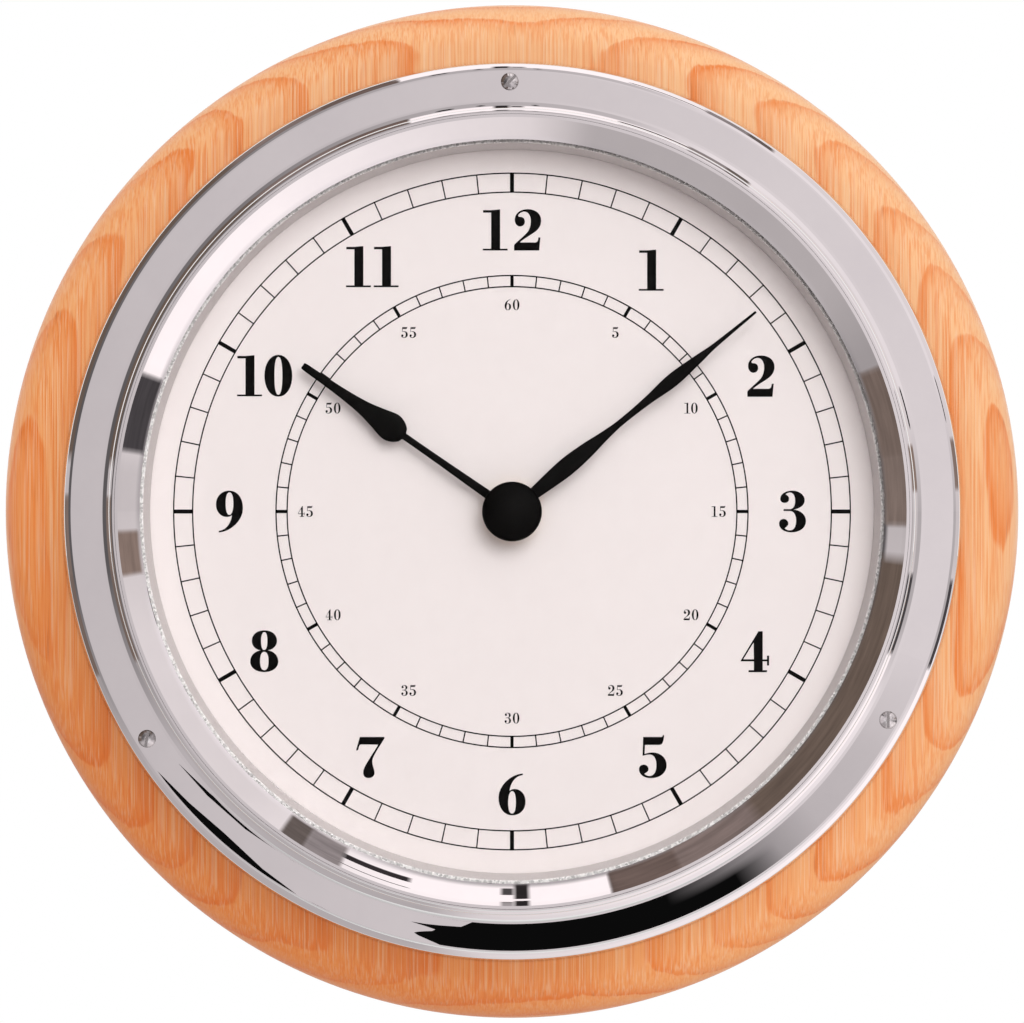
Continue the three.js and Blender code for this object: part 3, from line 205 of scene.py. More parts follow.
class ClockCaseSettings(bpy.types.PropertyGroup):
    """Sizes of the chromed case and its screws"""

    wall_radius: length("Case radius", "Outside of the case's wall", 79.2 * MM)
    wall: length("Wall", "Thickness of the case's wall", 1.15 * MM)
    cove: length("Cove", "Round between wall and flange", 3.2 * MM)
    rim_round: length("Rim round", "Round of the case's front rim", 0.9 * MM)
    flange_thickness: length("Flange thickness", "Thickness of the mounting flange", 2.6 * MM)
    flange_round: length("Flange round", "Round of the flange's edge", 2 * MM)
    ledge_width: length("Ledge width", "Ledge inside the case under the seal", 3.1 * MM)
    ledge_thickness: length("Ledge thickness", "Thickness of that ledge", 2.4 * MM)
    screw_circle: length("Screw circle", "Radius at which the flange screws stand", 86 * MM)
    first_screw: angle("First screw", "Anticlockwise from three o'clock", 90.3)
    second_screw: angle("Second screw", "Anticlockwise from three o'clock", 211.9)
    third_screw: angle("Third screw", "Anticlockwise from three o'clock", 331)
    screw_head: length("Screw head", "Radius of a flange screw's head", 1.75 * MM)
    screw_shank: length("Screw shank", "Radius of a flange screw's shank", 1.0 * MM)
    screw_length: length("Screw length", "Length below the flange's front", 13 * MM)
    screw_dome: length("Screw dome", "Height of the domed head", 0.6 * MM)
    screw_gap: length("Screw gap", "Gap round a screw's head", 0.025 * MM)
    slot_width: length("Slot width", "Width of a screw's slot", 0.55 * MM)
    slot_depth: length("Slot depth", "Depth of a screw's slot", 0.5 * MM)
    first_slot: angle("First slot", "Turn of the first screw's slot", 45)
    second_slot: angle("Second slot", "Turn of the second screw's slot", 80)
    third_slot: angle("Third slot", "Turn of the third screw's slot", 90)


class ClockWindowSettings(bpy.types.PropertyGroup):
    """Sizes of the bezel, glass, seal and reflector"""

    bezel_breadth: length("Bezel breadth", "From the bezel's outside to its mouth", 4.75 * MM)
    bezel_play: length("Bezel play", "Gap that shows between the bezel and the case", 0.06 * MM)
    bezel_lip: length("Bezel lip", "Flat lip at the bezel's front", 0.6 * MM)
    bevel_inside: length("Bevel inside", "From the bezel's outside to the inner end of its bevel", 1.3 * MM)
    bevel_depth: length("Bevel depth", "Fall of the bevel from the lip to the funnel", 0.5 * MM)
    funnel_bow: length("Funnel bow", "Rise of the polished funnel above a straight cone", 0.12 * MM)
    glass_edge: length("Glass edge", "Chamfer round the glass", 0.3 * MM)
    seal_shown: length("Seal shown", "Width of the seal inside the window", 0.55 * MM)
    seal_round: length("Seal round", "Round of the seal's inner edge", 0.3 * MM)
    rehaut_taper: length("Reflector taper", "Narrowing from the seal to the dial", 1 * MM)


class ClockDialSettings(bpy.types.PropertyGroup):
    """Sizes of the dial's print"""

    hole: length("Dial hole", "Hole for the movement's bush", 4.25 * MM)
    outer_track: length("Outer track", "Outside circle of the outer track", 66.95 * MM)
    outer_width: length("Outer width", "Width of the outer track", 3.75 * MM)
    inner_track: length("Inner track", "Outside circle of the inner track", 46.7 * MM)
    inner_width: length("Inner width", "Width of the inner track", 2.2 * MM)
    thin_line: length("Thin line", "Width of circles and minute ticks", 0.26 * MM)
    outer_bold: length("Outer hour tick", "Width of the outer track's hour ticks", 0.8 * MM)
    inner_bold: length("Inner hour tick", "Width of the inner track's hour ticks", 0.65 * MM)
    minutes: IntProperty(name="Minutes", description="Ticks round the dial", default=60, min=12)
    hours: IntProperty(name="Hours", description="Numerals round the dial", default=12, min=4)
    numeral_height: length("Numeral height", "Height of the hour numerals", 8.1 * MM)
    numeral_circle: length("Numeral circle", "Radius of the hour numerals' centres", 55.7 * MM)
    number_height: length("Number height", "Height of the minute numbers", 2.12 * MM)
    number_circle: length("Number circle", "Radius of the minute numbers' centres", 40.9 * MM)
    number_width: FloatProperty(name="Number width", description="Width of the minute numbers' figures"
                                " against the hour numerals'", default=0.92, min=0, subtype="FACTOR")
    number_lightness: FloatProperty(name="Number lightness", description="Lightness of the minute numbers",
                                    default=0.45, min=0, max=1, subtype="FACTOR")
    figure_gap: FloatProperty(name="Figure gap", description="Gap between two figures, as a share of height",
                              default=0.15, min=0, subtype="FACTOR")
    print_rise: length("Print", "Thickness of the printed ink", 0.04 * MM)


class ClockHandSettings(bpy.types.PropertyGroup):
    """Sizes of the hands and their cap"""

    hub: length("Hub", "Radius of a hand's hub", 4.6 * MM)
    minute_bore: length("Minute bore", "Radius of the minute hand's bore", 1.55 * MM)
    hour_bore: length("Hour bore", "Radius of the hour hand's bore", 2.7 * MM)
    hour_blade: length("Hour blade", "Thickness of the hour hand's blade", 0.6 * MM)
    edge_round: length("Edge round", "Round of a blade's edges", 0.12 * MM)
    minute_angle: angle("Minute hand", "Clockwise from twelve", 50.7)
    hour_angle: angle("Hour hand", "Clockwise from twelve", 304.9)
    cap_socket: length("Cap socket", "Radius of the socket in the cap", 1.55 * MM)
    cap_edge: length("Cap edge", "Round of the cap's rim", 0.35 * MM)


class ClockStageSettings(bpy.types.PropertyGroup):
    """Camera, light and floor"""

    camera_distance: length("Camera distance", "From the flange to the camera", 1.6)
    picture_width: length("Picture width", "Width of the picture at the flange", 0.2048)
    floor_drop: length("Floor drop", "From the clock's centre to the floor", 0.6)
    floor_size: length("Floor size", "Side of the floor", 12.0)
    floor_colour: colour("Floor", "Colour of the floor", (0.86, 0.85, 0.84))
    soft_light: FloatProperty(name="Soft light", description="Strength of the light from all round",
                              default=0.73, min=0)
    key_power: FloatProperty(name="Key light", description="Power of the lamp above the camera",
                             default=9.4, min=0, unit="POWER")
    key_size: length("Key size", "Width of the lamp above the camera", 1.0)
    key_place: FloatVectorProperty(name="Key place", description="Where the lamp above the camera stands",
                                   default=(0.35, -1.585, 0.6), subtype="TRANSLATION")
    room_distance: length("Room", "From the flange to the room that the chrome reflects", 3.0)


def screw_places(case):
    """Where the flange screws stand in the dial's plane."""
    turns = (case.first_screw, case.second_screw, case.third_screw)
    return [(case.screw_circle * math.cos(turn), case.screw_circle * math.sin(turn)) for turn in turns]


def flange_face(case):
    """Height of the flange's front."""
    return FLANGE_BACK + case.flange_thickness


def keyhole_entry(board):
    """Height of the middle of the keyhole's entry above the clock's centre."""
    low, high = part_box("hanger_plate")
    return (low.z + high.z - board.keyhole_travel) / 2


# Shapes


def around(radius, turn, middle=(0, 0)):
    """The point at a distance and an angle in degrees from a middle."""
    turn = math.radians(turn)
    return middle[0] + radius * math.cos(turn), middle[1] + radius * math.sin(turn)


def arc(radius, height, bend, start, end, steps):
    """Points of a round in a turned profile, with angles in degrees."""
    turns = (start + (end - start) * step / steps for step in range(steps + 1))
    return [around(bend, turn, (radius, height)) for turn in turns]


def bowed(start, end, bow, steps):
    """Points of a shallow curve between two points of a profile, bowed out to its right."""
    run = math.dist(start, end)
    points = []
    for step in range(steps + 1):
        share = step / steps
        push = 4 * bow * share * (1 - share) / run
        points.append((start[0] + (end[0] - start[0]) * share - push * (end[1] - start[1]),
                       start[1] + (end[1] - start[1]) * share + push * (end[0] - start[0])))
    return points


def held(loop, closed):
    """The profile with extra points near the ends of its straight runs, so that flats stay flat."""
    hold = 0.12 * MM
    ends = loop[1:] + loop[:1] if closed else loop[1:]
    points = []
    for start, end in zip(loop, ends):
        points.append(start)
        run = math.dist(start, end)
        if run > 4 * hold:
            for share in (hold / run, 1 - hold / run):
                points.append(tuple(a + (b - a) * share for a, b in zip(start, end)))
    return points if closed else points + [loop[-1]]


def settle_shading(mesh, crease=32):
    mesh.shade_smooth()
    mesh.set_sharp_from_angle(angle=math.radians(crease))
    return mesh


def finished(name, shape):
    """The mesh of a shape that has been built up. The shape itself is freed."""
    mesh = bpy.data.meshes.new(name)
    shape.to_mesh(mesh)
    shape.free()
    return mesh


def turned(name, loop, sides, place=(0, 0)):
    """A closed mesh turned from (radius, height) points, about the dial's axis or one beside it."""
    closed = loop[0][0] > 0
    profile = held(loop, closed)
    shape = bmesh.new()
    rings = []
    for radius, height in profile:
        if radius < 1e-9:
            rings.append([shape.verts.new((0, -height, 0))])
            continue
        turns = [2 * math.pi * step / sides for step in range(sides)]
        rings.append([shape.verts.new((radius * math.sin(turn), -height, radius * math.cos(turn)))
                      for turn in turns])
    following = rings[1:] + rings[:1] if closed else rings[1:]
    for here, there in zip(rings, following):
        for step in range(sides):
            after = step + 1
            corners = [here[step % len(here)], here[after % len(here)],
                       there[after % len(there)], there[step % len(there)]]
            shape.faces.new(dict.fromkeys(corners))
    bmesh.ops.recalc_face_normals(shape, faces=shape.faces)
    mesh = settle_shading(finished(name, shape))
    mesh.transform(Matrix.Translation((place[0], 0, place[1])))
    return mesh


def band(name, inside, outside, back, front, sides):
    """A flat ring between two radii."""
    return turned(name, [(inside, back), (outside, back), (outside, front), (inside, front)], sides)


def shown(name, mesh):
    item = bpy.data.objects.new(name, mesh)
    bpy.context.scene.collection.objects.link(item)
    return item


def settled(maker):
    """The evaluated result of an object as a plain mesh. The object itself is removed."""
    graph = bpy.context.evaluated_depsgraph_get()
    mesh = bpy.data.meshes.new_from_object(maker.evaluated_get(graph), depsgraph=graph)
    mesh.name = maker.name
    bpy.data.objects.remove(maker)
    return mesh


def cut_away(mesh, *tools):
    """The mesh with each tool's shape taken out of it."""
    body = shown(mesh.name, mesh)
    cutters = []
    for tool in tools:
        cutter = shown(tool.name, tool)
        modifier = body.modifiers.new(tool.name, "BOOLEAN")
        modifier.operation = "DIFFERENCE"
        modifier.solver = "EXACT"
        modifier.object = cutter
        cutters.append(cutter)
    result = settled(body)
    for cutter in cutters:
        bpy.data.objects.remove(cutter)
    return settle_shading(result)


def gathered(name, meshes):
    """Several meshes as one, with seams merged, faces turned outwards and smooth shading."""
    shape = bmesh.new()
    for mesh in meshes:
        shape.from_mesh(mesh)
        bpy.data.meshes.remove(mesh)
    bmesh.ops.remove_doubles(shape, verts=shape.verts, dist=1e-7)
    bmesh.ops.recalc_face_normals(shape, faces=shape.faces)
    return settle_shading(finished(name, shape))


def plate(name, outlines, back, front, edge=0.0, resolution=8):
    """A flat plate in the dial's plane. An outline is a list of (handle, knot, handle) rows or of points."""
    curve = bpy.data.curves.new(name, "CURVE")
    curve.dimensions = "2D"
    curve.fill_mode = "BOTH"
    curve.resolution_u = resolution
    curve.extrude = (front - back) / 2 - edge
    curve.bevel_depth = edge
    curve.bevel_resolution = 2
    curve.offset = -edge
    for outline in outlines:
        if len(outline[0]) == 3 and isinstance(outline[0][0], Vector):
            spline = curve.splines.new("BEZIER")
            spline.bezier_points.add(len(outline) - 1)
            for point, (before, knot, after) in zip(spline.bezier_points, outline):
                point.handle_left_type = "FREE"
                point.handle_right_type = "FREE"
                point.handle_left = before
                point.co = knot
                point.handle_right = after
        else:
            spline = curve.splines.new("POLY")
            spline.points.add(len(outline) - 1)
            for point, (x, y) in zip(spline.points, outline):
                point.co = (x, y, 0, 1)
        spline.use_cyclic_u = True
    mesh = settled(shown(name, curve))
    bpy.data.curves.remove(curve)
    mesh.transform(STAND_UP @ Matrix.Translation((0, 0, (back + front) / 2)))
    return gathered(name, [mesh])


def block(name, left, right, bottom, top, back, front):
    shape = bmesh.new()
    bmesh.ops.create_cube(shape, size=1)
    size = Vector((right - left, front - back, top - bottom))
    middle = Vector(((left + right) / 2, -(back + front) / 2, (bottom + top) / 2))
    bmesh.ops.scale(shape, vec=size, verts=shape.verts)
    bmesh.ops.translate(shape, vec=middle, verts=shape.verts)
    return finished(name, shape)


def circle(radius, sides, middle=(0, 0)):
    turns = [2 * math.pi * step / sides for step in range(sides)]
    return [(middle[0] + radius * math.cos(turn), middle[1] + radius * math.sin(turn)) for turn in turns]


def rounded_rectangle(half_width, bottom, top, corner, steps=8):
    points = []
    corners = ((half_width, top, 0), (-half_width, top, 90), (-half_width, bottom, 180),
               (half_width, bottom, 270))
    for x, y, start in corners:
        middle_x = x - math.copysign(corner, x)
        middle_y = y - corner if y == top else y + corner
        points += arc(middle_x, middle_y, corner, start, start + 90, steps)
    return points


def smooth_edge(stations, steps=6):
    """A smooth line through (distance, half width) stations, in metres."""
    points = [Vector((half * MM, along * MM)) for along, half in stations]
    padded = [points[0]] + points + [points[-1]]
    line = []
    for before, start, end, after in zip(padded, padded[1:], padded[2:], padded[3:]):
        for step in range(steps):
            t = step / steps
            pull = (end - before) * 0.5
            push = (after - start) * 0.5
            line.append(start * (2 * t ** 3 - 3 * t ** 2 + 1) + pull * (t ** 3 - 2 * t ** 2 + t)
                        + end * (3 * t ** 2 - 2 * t ** 3) + push * (t ** 3 - t ** 2))
    return line + [points[-1]]


def hand_outline(edge, hub):
    """The outline of a hand that points to twelve, with its round hub."""
    outside = [point for point in edge if point.length > hub]
    foot = math.asin(outside[0].x / hub)
    side = [tuple(point) for point in outside]
    other = [(-x, y) for x, y in reversed(side)]
    steps = 48
    turns = [math.pi / 2 + foot + (2 * math.pi - 2 * foot) * step / steps for step in range(steps + 1)]
    round_hub = [(hub * math.cos(turn), hub * math.sin(turn)) for turn in turns]
    return side + other + round_hub


def figure_outlines(path, lightness):
    """Closed outlines of one figure as (handle, knot, handle) rows on the figures' grid."""
    def value(word):
        base, _, change = word.partition("~")
        return float(base) + lightness * float(change or 0)

    outlines = []
    words = path.split()
    place = 0
    while place < len(words):
        command = words[place]
        count = 3 if command == "C" else 1
        numbers = [value(word) for word in words[place + 1:place + 1 + 2 * count]]
        points = [Vector((x, y, 0)) for x, y in zip(numbers[::2], numbers[1::2])]
        place += 1 + 2 * count
        knot = points[-1]
        if command == "M":
            outlines.append([[knot, knot, knot]])
            continue
        last = outlines[-1][-1]
        if command == "C":
            last[2] = points[0]
            outlines[-1].append([points[1], knot, knot])
        else:
            last[2] = last[1].lerp(knot, 1 / 3)
            outlines[-1].append([knot.lerp(last[1], 1 / 3), knot, knot])
    for outline in outlines:
        first, last = outline[0], outline[-1]
        if (first[1] - last[1]).length < 1e-6:
            first[0] = last[0]
            outline.pop()
        else:
            last[2] = last[1].lerp(first[1], 1 / 3)
            first[0] = first[1].lerp(last[1], 1 / 3)
    return outlines


def number_outlines(text, height, gap, middle, lightness=0.0, narrowing=1.0):
    """Outlines of a whole number of the given height, centred on a point of the dial."""
    spread = CLOSE_PAIRS.get(text, gap * FIGURE_GRID) + SMALL_SPREAD * lightness
    widths = [FIGURES[TURNED_FIGURES.get(figure, figure)][0] for figure in text]
    left = -(sum(widths) + spread * (len(text) - 1)) / 2
    scale = height / FIGURE_GRID
    outlines = []
    for figure, width in zip(text, widths):
        path = FIGURES[TURNED_FIGURES.get(figure, figure)][1]
        for outline in figure_outlines(path, lightness):
            placed = []
            for row in outline:
                if figure in TURNED_FIGURES:
                    row = [Vector((width - p.x, FIGURE_GRID - p.y, 0)) for p in row]
                placed.append([Vector(((left + p.x) * scale * narrowing + middle[0],
                                       (p.y - FIGURE_GRID / 2) * scale + middle[1], 0)) for p in row])
            outlines.append(placed)
        left += width + spread
    return outlines


# Node trees


class Tree:
    """A node tree with short ways to add and join its nodes."""

    def __init__(self, tree):
        self.nodes = tree.nodes
        self.links = tree.links

    def add(self, kind, **settings):
        node = self.nodes.new(kind)
        for name, setting in settings.items():
            setattr(node, name, setting)
        return node

    def feed(self, socket, source):
        if isinstance(source, bpy.types.NodeSocket):
            self.links.new(source, socket)
        elif source is not None:
            socket.default_value = source

    def math(self, operation, first, second=None):
        node = self.add("ShaderNodeMath", operation=operation)
        self.feed(node.inputs[0], first)
        self.feed(node.inputs[1], second)
        return node.outputs[0]

    def times(self, first, *others):
        for other in others:
            first = self.math("MULTIPLY", first, other)
        return first

    def plus(self, first, second):
        return self.math("ADD", first, second)

    def diagonal(self, first, second):
        return self.math("SQRT", self.plus(self.times(first, first), self.times(second, second)))

    def parts(self):
        """The three Object coordinates of a surface."""
        split = self.add("ShaderNodeSeparateXYZ")
        self.links.new(self.add("ShaderNodeTexCoord").outputs["Object"], split.inputs[0])
        return split.outputs

    def vector(self, x, y, z):
        node = self.add("ShaderNodeCombineXYZ")
        for socket, source in zip(node.inputs, (x, y, z)):
            self.feed(socket, source)
        return node.outputs[0]

    def ramp(self, source, *stops):
        node = self.add("ShaderNodeValToRGB")
        set_stops(node.color_ramp, stops)
        self.links.new(source, node.inputs["Fac"])
        return node.outputs["Color"]

    def span(self, source, start, end, first, last):
        node = self.add("ShaderNodeMapRange")
        for socket, value in zip(("Value", "From Min", "From Max", "To Min", "To Max"),
                                 (source, start, end, first, last)):
            self.feed(node.inputs[socket], value)
        return node.outputs[0]

    def blend(self, amount, first, second, how="MIX"):
        node = self.add("ShaderNodeMix", data_type="RGBA", blend_type=how)
        for socket, source in zip((node.inputs["Factor"], node.inputs[6], node.inputs[7]),
                                  (amount, first, second)):
            self.feed(socket, (*source, 1) if isinstance(source, tuple) else source)
        return node.outputs[2]


def set_stops(ramp, stops):
    """Gives a colour ramp its (position, shade) stops, from left to right."""
    first, *middle, last = stops
    elements = ramp.elements
    elements[0].position = first[0]
    elements[-1].position = last[0]
    for position, _ in middle:
        elements.new(position)
    for element, (_, shade) in zip(elements, stops):
        element.color = (*shade, 1) if isinstance(shade, tuple) else (shade, shade, shade, 1)


class Finish(Tree):
    """A procedural surface on Object coordinates."""

    def __init__(self, name):
        self.material = bpy.data.materials.new(name)
        self.material.use_nodes = True
        super().__init__(self.material.node_tree)
        self.shader = self.nodes["Principled BSDF"]
        self.place = self.add("ShaderNodeTexCoord").outputs["Object"]

    def plain(self, **values):
        for name, value in values.items():
            self.shader.inputs[name.replace("_", " ")].default_value = value

    def stretched(self, scale):
        node = self.add("ShaderNodeMapping")
        node.inputs["Scale"].default_value = scale
        self.links.new(self.place, node.inputs["Vector"])
        return node.outputs[0]

    def noise(self, scale, detail=2.0, stretch=(1, 1, 1), roughness=0.5):
        node = self.add("ShaderNodeTexNoise")
        self.links.new(self.stretched(stretch), node.inputs["Vector"])
        node.inputs["Scale"].default_value = scale
        node.inputs["Detail"].default_value = detail
        node.inputs["Roughness"].default_value = roughness
        return node.outputs["Fac"]

    def bump(self, height, strength, distance):
        node = self.add("ShaderNodeBump")
        node.inputs["Strength"].default_value = strength
        node.inputs["Distance"].default_value = distance
        self.links.new(height, node.inputs["Height"])
        self.links.new(node.outputs["Normal"], self.shader.inputs["Normal"])

    def set(self, name, source):
        self.links.new(source, self.shader.inputs[name])


def wood_finish(board):
    """Varnished ash: rings about a heart line behind the board, upright fibres, pores, and painted shade
    towards the lower left.
    """
    finish = Finish("varnished_wood")
    across, depth, along = finish.parts()
    behind = finish.math("SUBTRACT", depth, board.heart_depth - BOARD_FRONT)
    rings = finish.math("DIVIDE", finish.diagonal(across, behind), board.ring_spacing)
    lobes = finish.times(finish.noise(13, 1.0, (1.0, 1.0, 0.9)), 3.4)
    wander = finish.times(finish.noise(70, 2.0, (1, 1, 0.35)), 0.75)
    fray = finish.times(finish.noise(900, 1.0, (1, 1, 0.05)), 0.14)
    ring = finish.math("FRACT", finish.plus(finish.plus(rings, lobes), finish.plus(wander, fray)))
    pale, late, deep = tuple(board.pale_wood), tuple(board.ring_wood), tuple(board.deep_wood)
    line = finish.ramp(ring, (0.0, 0.8), (0.05, 0.9), (0.16, 0.55), (0.42, 0.16), (0.7, 0.0), (0.96, 0.05),
                       (1.0, 0.8))
    patch = finish.ramp(finish.noise(45, 2.0, (1, 1, 0.4)), (0.3, 0.5), (0.62, 1.0))
    # Painted shade: the colour turns from early towards late wood, darker, on the lower left, away from the
    # key light
    rise = finish.plus(finish.times(across, 0.45), finish.times(along, 0.6))
    side = finish.span(rise, -0.075, 0.075, 0.95, 0.0)
    shaded_ground = finish.blend(side, pale, late)
    ringed = finish.blend(finish.times(line, patch), shaded_ground, deep)
    front_share = finish.span(depth, -BOARD_FRONT, 4.5 * MM - BOARD_FRONT, 1.0, 0.35)
    fibre = finish.noise(3000, 2.0, (1, 0.25, 0.015), 0.6)
    fibre_line = finish.ramp(fibre, (0.46, 0.0), (0.6, 1.0))
    strength = finish.ramp(finish.noise(26, 1.0, (1, 1, 0.6)), (0.3, 0.36), (0.68, 0.75))
    streaked = finish.blend(finish.times(fibre_line, strength, front_share), ringed, deep)
    light_line = finish.ramp(finish.noise(3500, 1.0, (1, 0.25, 0.011)), (0.5, 0.0), (0.68, 0.42))
    lined = finish.blend(finish.times(light_line, front_share), streaked, tuple(board.light_wood))
    pore_line = finish.ramp(finish.noise(3000, 1.0, (1, 0.3, 0.03)), (0.6, 0.0), (0.7, 1.0))
    porous = finish.ramp(ring, (0.0, 0.9), (0.2, 0.55), (0.45, 0.2), (0.95, 0.15), (1.0, 0.9))
    pores = finish.times(pore_line, porous, 0.34)
    # Painted shade: the lower left edge is darkened further
    low_side_shade = finish.span(rise, -0.064, -0.042, 1.0, 0.0)
    shaded_wood = finish.blend(low_side_shade, lined, tuple(board.side_tone), "MULTIPLY")
    finish.set("Base Color", finish.blend(pores, shaded_wood, tuple(board.pore_wood)))
    finish.set("Roughness", finish.ramp(fibre, (0.3, 0.36), (0.7, 0.5)))
    finish.bump(finish.math("SUBTRACT", fibre, pores), 0.1, 0.1 * MM)
    finish.plain(Coat_Weight=0.3, Coat_Roughness=0.14, Specular_IOR_Level=0.2)
    return finish.material


def chrome_finish():
    """Polished chrome plate with a trace of wiping haze."""
    finish = Finish("polished_chrome")
    haze = finish.noise(60, 4.0, (1, 1, 1), 0.7)
    finish.set("Roughness", finish.ramp(haze, (0.35, 0.002), (0.75, 0.0035)))
    finish.set("Base Color", finish.ramp(haze, (0.3, (0.83, 0.825, 0.835)), (0.7, (0.87, 0.866, 0.872))))
    finish.plain(Metallic=1.0)
    return finish.material


def screw_finish(case):
    """Chromed screw heads, worn matt, coloured darker in their slots."""
    finish = Finish("screw_chrome")
    slot_floor = flange_face(case) + case.screw_dome - case.slot_depth
    # Below the height of the slots' floors the colour is darker
    shine = finish.span(finish.parts()["Y"], -slot_floor - 0.1 * MM, -slot_floor - 0.02 * MM, 1.0, 0.0)
    wear = finish.noise(1400, 3.0)
    plated = finish.ramp(wear, (0.35, (0.6, 0.595, 0.6)), (0.65, (0.88, 0.875, 0.88)))
    finish.set("Base Color", finish.blend(shine, (0.5, 0.49, 0.49), plated))
    finish.set("Roughness", finish.ramp(wear, (0.3, 0.1), (0.7, 0.24)))
    finish.plain(Metallic=1.0)
    return finish.material


def metal_finish(name, dark, light, rough, stretch=(1, 1, 1), scale=900):
    """Plain metal with a drawn or rolled grain."""
    finish = Finish(name)
    grain = finish.noise(scale, 3.0, stretch, 0.6)
    finish.set("Base Color", finish.ramp(grain, (0.3, dark), (0.7, light)))
    finish.set("Roughness", finish.ramp(grain, (0.3, rough), (0.7, rough + 0.12)))
    finish.bump(grain, 0.08, 0.02 * MM)
    finish.plain(Metallic=1.0)
    return finish.material


def moulded_finish(name, dark, light, rough, scale=1400, relief=0.1, sheen=0.5):
    """Moulded plastic or paint with a fine surface grain."""
    finish = Finish(name)
    grain = finish.noise(scale, 3.0, (1, 1, 1), 0.6)
    finish.set("Base Color", finish.ramp(grain, (0.3, dark), (0.7, light)))
    finish.set("Roughness", finish.ramp(grain, (0.3, rough), (0.7, rough + 0.08)))
    finish.bump(grain, relief, 0.02 * MM)
    finish.plain(Specular_IOR_Level=sheen)
    return finish.material


def glass_finish():
    finish = Finish("window_glass")
    finish.plain(Base_Color=(1, 1, 1, 1), Roughness=0.0, IOR=1.45, Transmission_Weight=1.0)
    return finish.material


def seal_finish():
    """Pale rough sealing compound, grainy, whose lighter specks are painted glints where it catches the
    light.
    """
    finish = Finish("pale_seal")
    # Painted glints on the compound's grain: each cell gets its own lightness, up to near white
    specks = finish.add("ShaderNodeTexVoronoi")
    finish.links.new(finish.place, specks.inputs["Vector"])
    specks.inputs["Scale"].default_value = 2500
    shade = finish.ramp(specks.outputs["Color"], (0.15, (0.5, 0.485, 0.475)), (0.75, (1.0, 0.98, 0.96)))
    finish.set("Base Color", shade)
    finish.bump(finish.noise(2500, 2.0), 0.45, 0.12 * MM)
    finish.plain(Roughness=0.35)
    return finish.material


def make_finishes(scene):
    """Every surface of the clock, by the record's name of its slot."""
    return {
        "board_wood": wood_finish(scene.clock_board),
        "chrome": chrome_finish(),
        "screw_chrome": screw_finish(scene.clock_case),
        "plain_steel": metal_finish("plain_steel", (0.42, 0.42, 0.43), (0.6, 0.6, 0.61), 0.3),
        "window_glass": glass_finish(),
        "pale_seal": seal_finish(),
        "rehaut_grey": moulded_finish("rehaut_grey", (0.6, 0.56, 0.55), (0.67, 0.625, 0.615), 0.6),
        "dial_white": moulded_finish("dial_white", (0.89, 0.83, 0.815), (0.91, 0.85, 0.835), 0.6, 500, 0.03,
                                     sheen=0.15),
        "hand_black": moulded_finish("hand_black", (0.0025, 0.0022, 0.002), (0.004, 0.0036, 0.0034), 0.42,
                                     sheen=0.06),
        "movement_black": moulded_finish("movement_black", (0.012, 0.012, 0.013), (0.02, 0.02, 0.022), 0.5),
        "gear_white": moulded_finish("gear_white", (0.72, 0.7, 0.63), (0.8, 0.78, 0.72), 0.4),
        "bright_brass": metal_finish("bright_brass", (0.62, 0.42, 0.13), (0.74, 0.53, 0.2), 0.22),
        "coil_copper": metal_finish("coil_copper", (0.5, 0.2, 0.08), (0.68, 0.3, 0.13), 0.3,
                                    (0.02, 1, 1), 2600),
        "magnet_grey": metal_finish("magnet_grey", (0.1, 0.1, 0.11), (0.15, 0.15, 0.16), 0.4),
        "circuit_green": moulded_finish("circuit_green", (0.02, 0.11, 0.045), (0.03, 0.15, 0.06), 0.4),
        "cell_jacket": moulded_finish("cell_jacket", (0.12, 0.15, 0.19), (0.16, 0.19, 0.24), 0.3),
    }


FINISHES = {}


def piece(name, mesh, slot, body, *nodes, finish=None):
    """Shows a mesh as a piece of the clock that rides on a body and stands for its solids."""
    mesh.materials.clear()
    mesh.materials.append(FINISHES[finish or slot])
    item = shown(name, mesh)
    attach(item, body)
    if nodes:
        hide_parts(*nodes)
    return item


def named_inputs(tree, sockets):
    """Adds a geometry input, the named inputs and a geometry output, and gives the inputs' identifiers."""
    tree.interface.new_socket("Geometry", in_out="INPUT", socket_type="NodeSocketGeometry")
    found = {}
    for name, kind in sockets.items():
        found[name] = tree.interface.new_socket(name, in_out="INPUT", socket_type=kind).identifier
    tree.interface.new_socket("Geometry", in_out="OUTPUT", socket_type="NodeSocketGeometry")
    return found


def hand_out(build, spread, material):
    """Ends a tree with its copies made real and given their material."""
    whole = build.add("GeometryNodeRealizeInstances")
    build.feed(whole.inputs[0], spread.outputs[0])
    painted = build.add("GeometryNodeSetMaterial")
    build.feed(painted.inputs["Geometry"], whole.outputs[0])
    build.feed(painted.inputs["Material"], material)
    build.feed(build.add("NodeGroupOutput").inputs[0], painted.outputs[0])


def grown(name, mesh, tree, identifiers, values):
    """The plain mesh that a tree of Geometry Nodes makes of a start mesh with the given inputs."""
    maker = shown(name, mesh)
    modifier = maker.modifiers.new(name, "NODES")
    modifier.node_group = tree
    for socket, value in values.items():
        modifier[identifiers[socket]] = value
    return settled(maker)


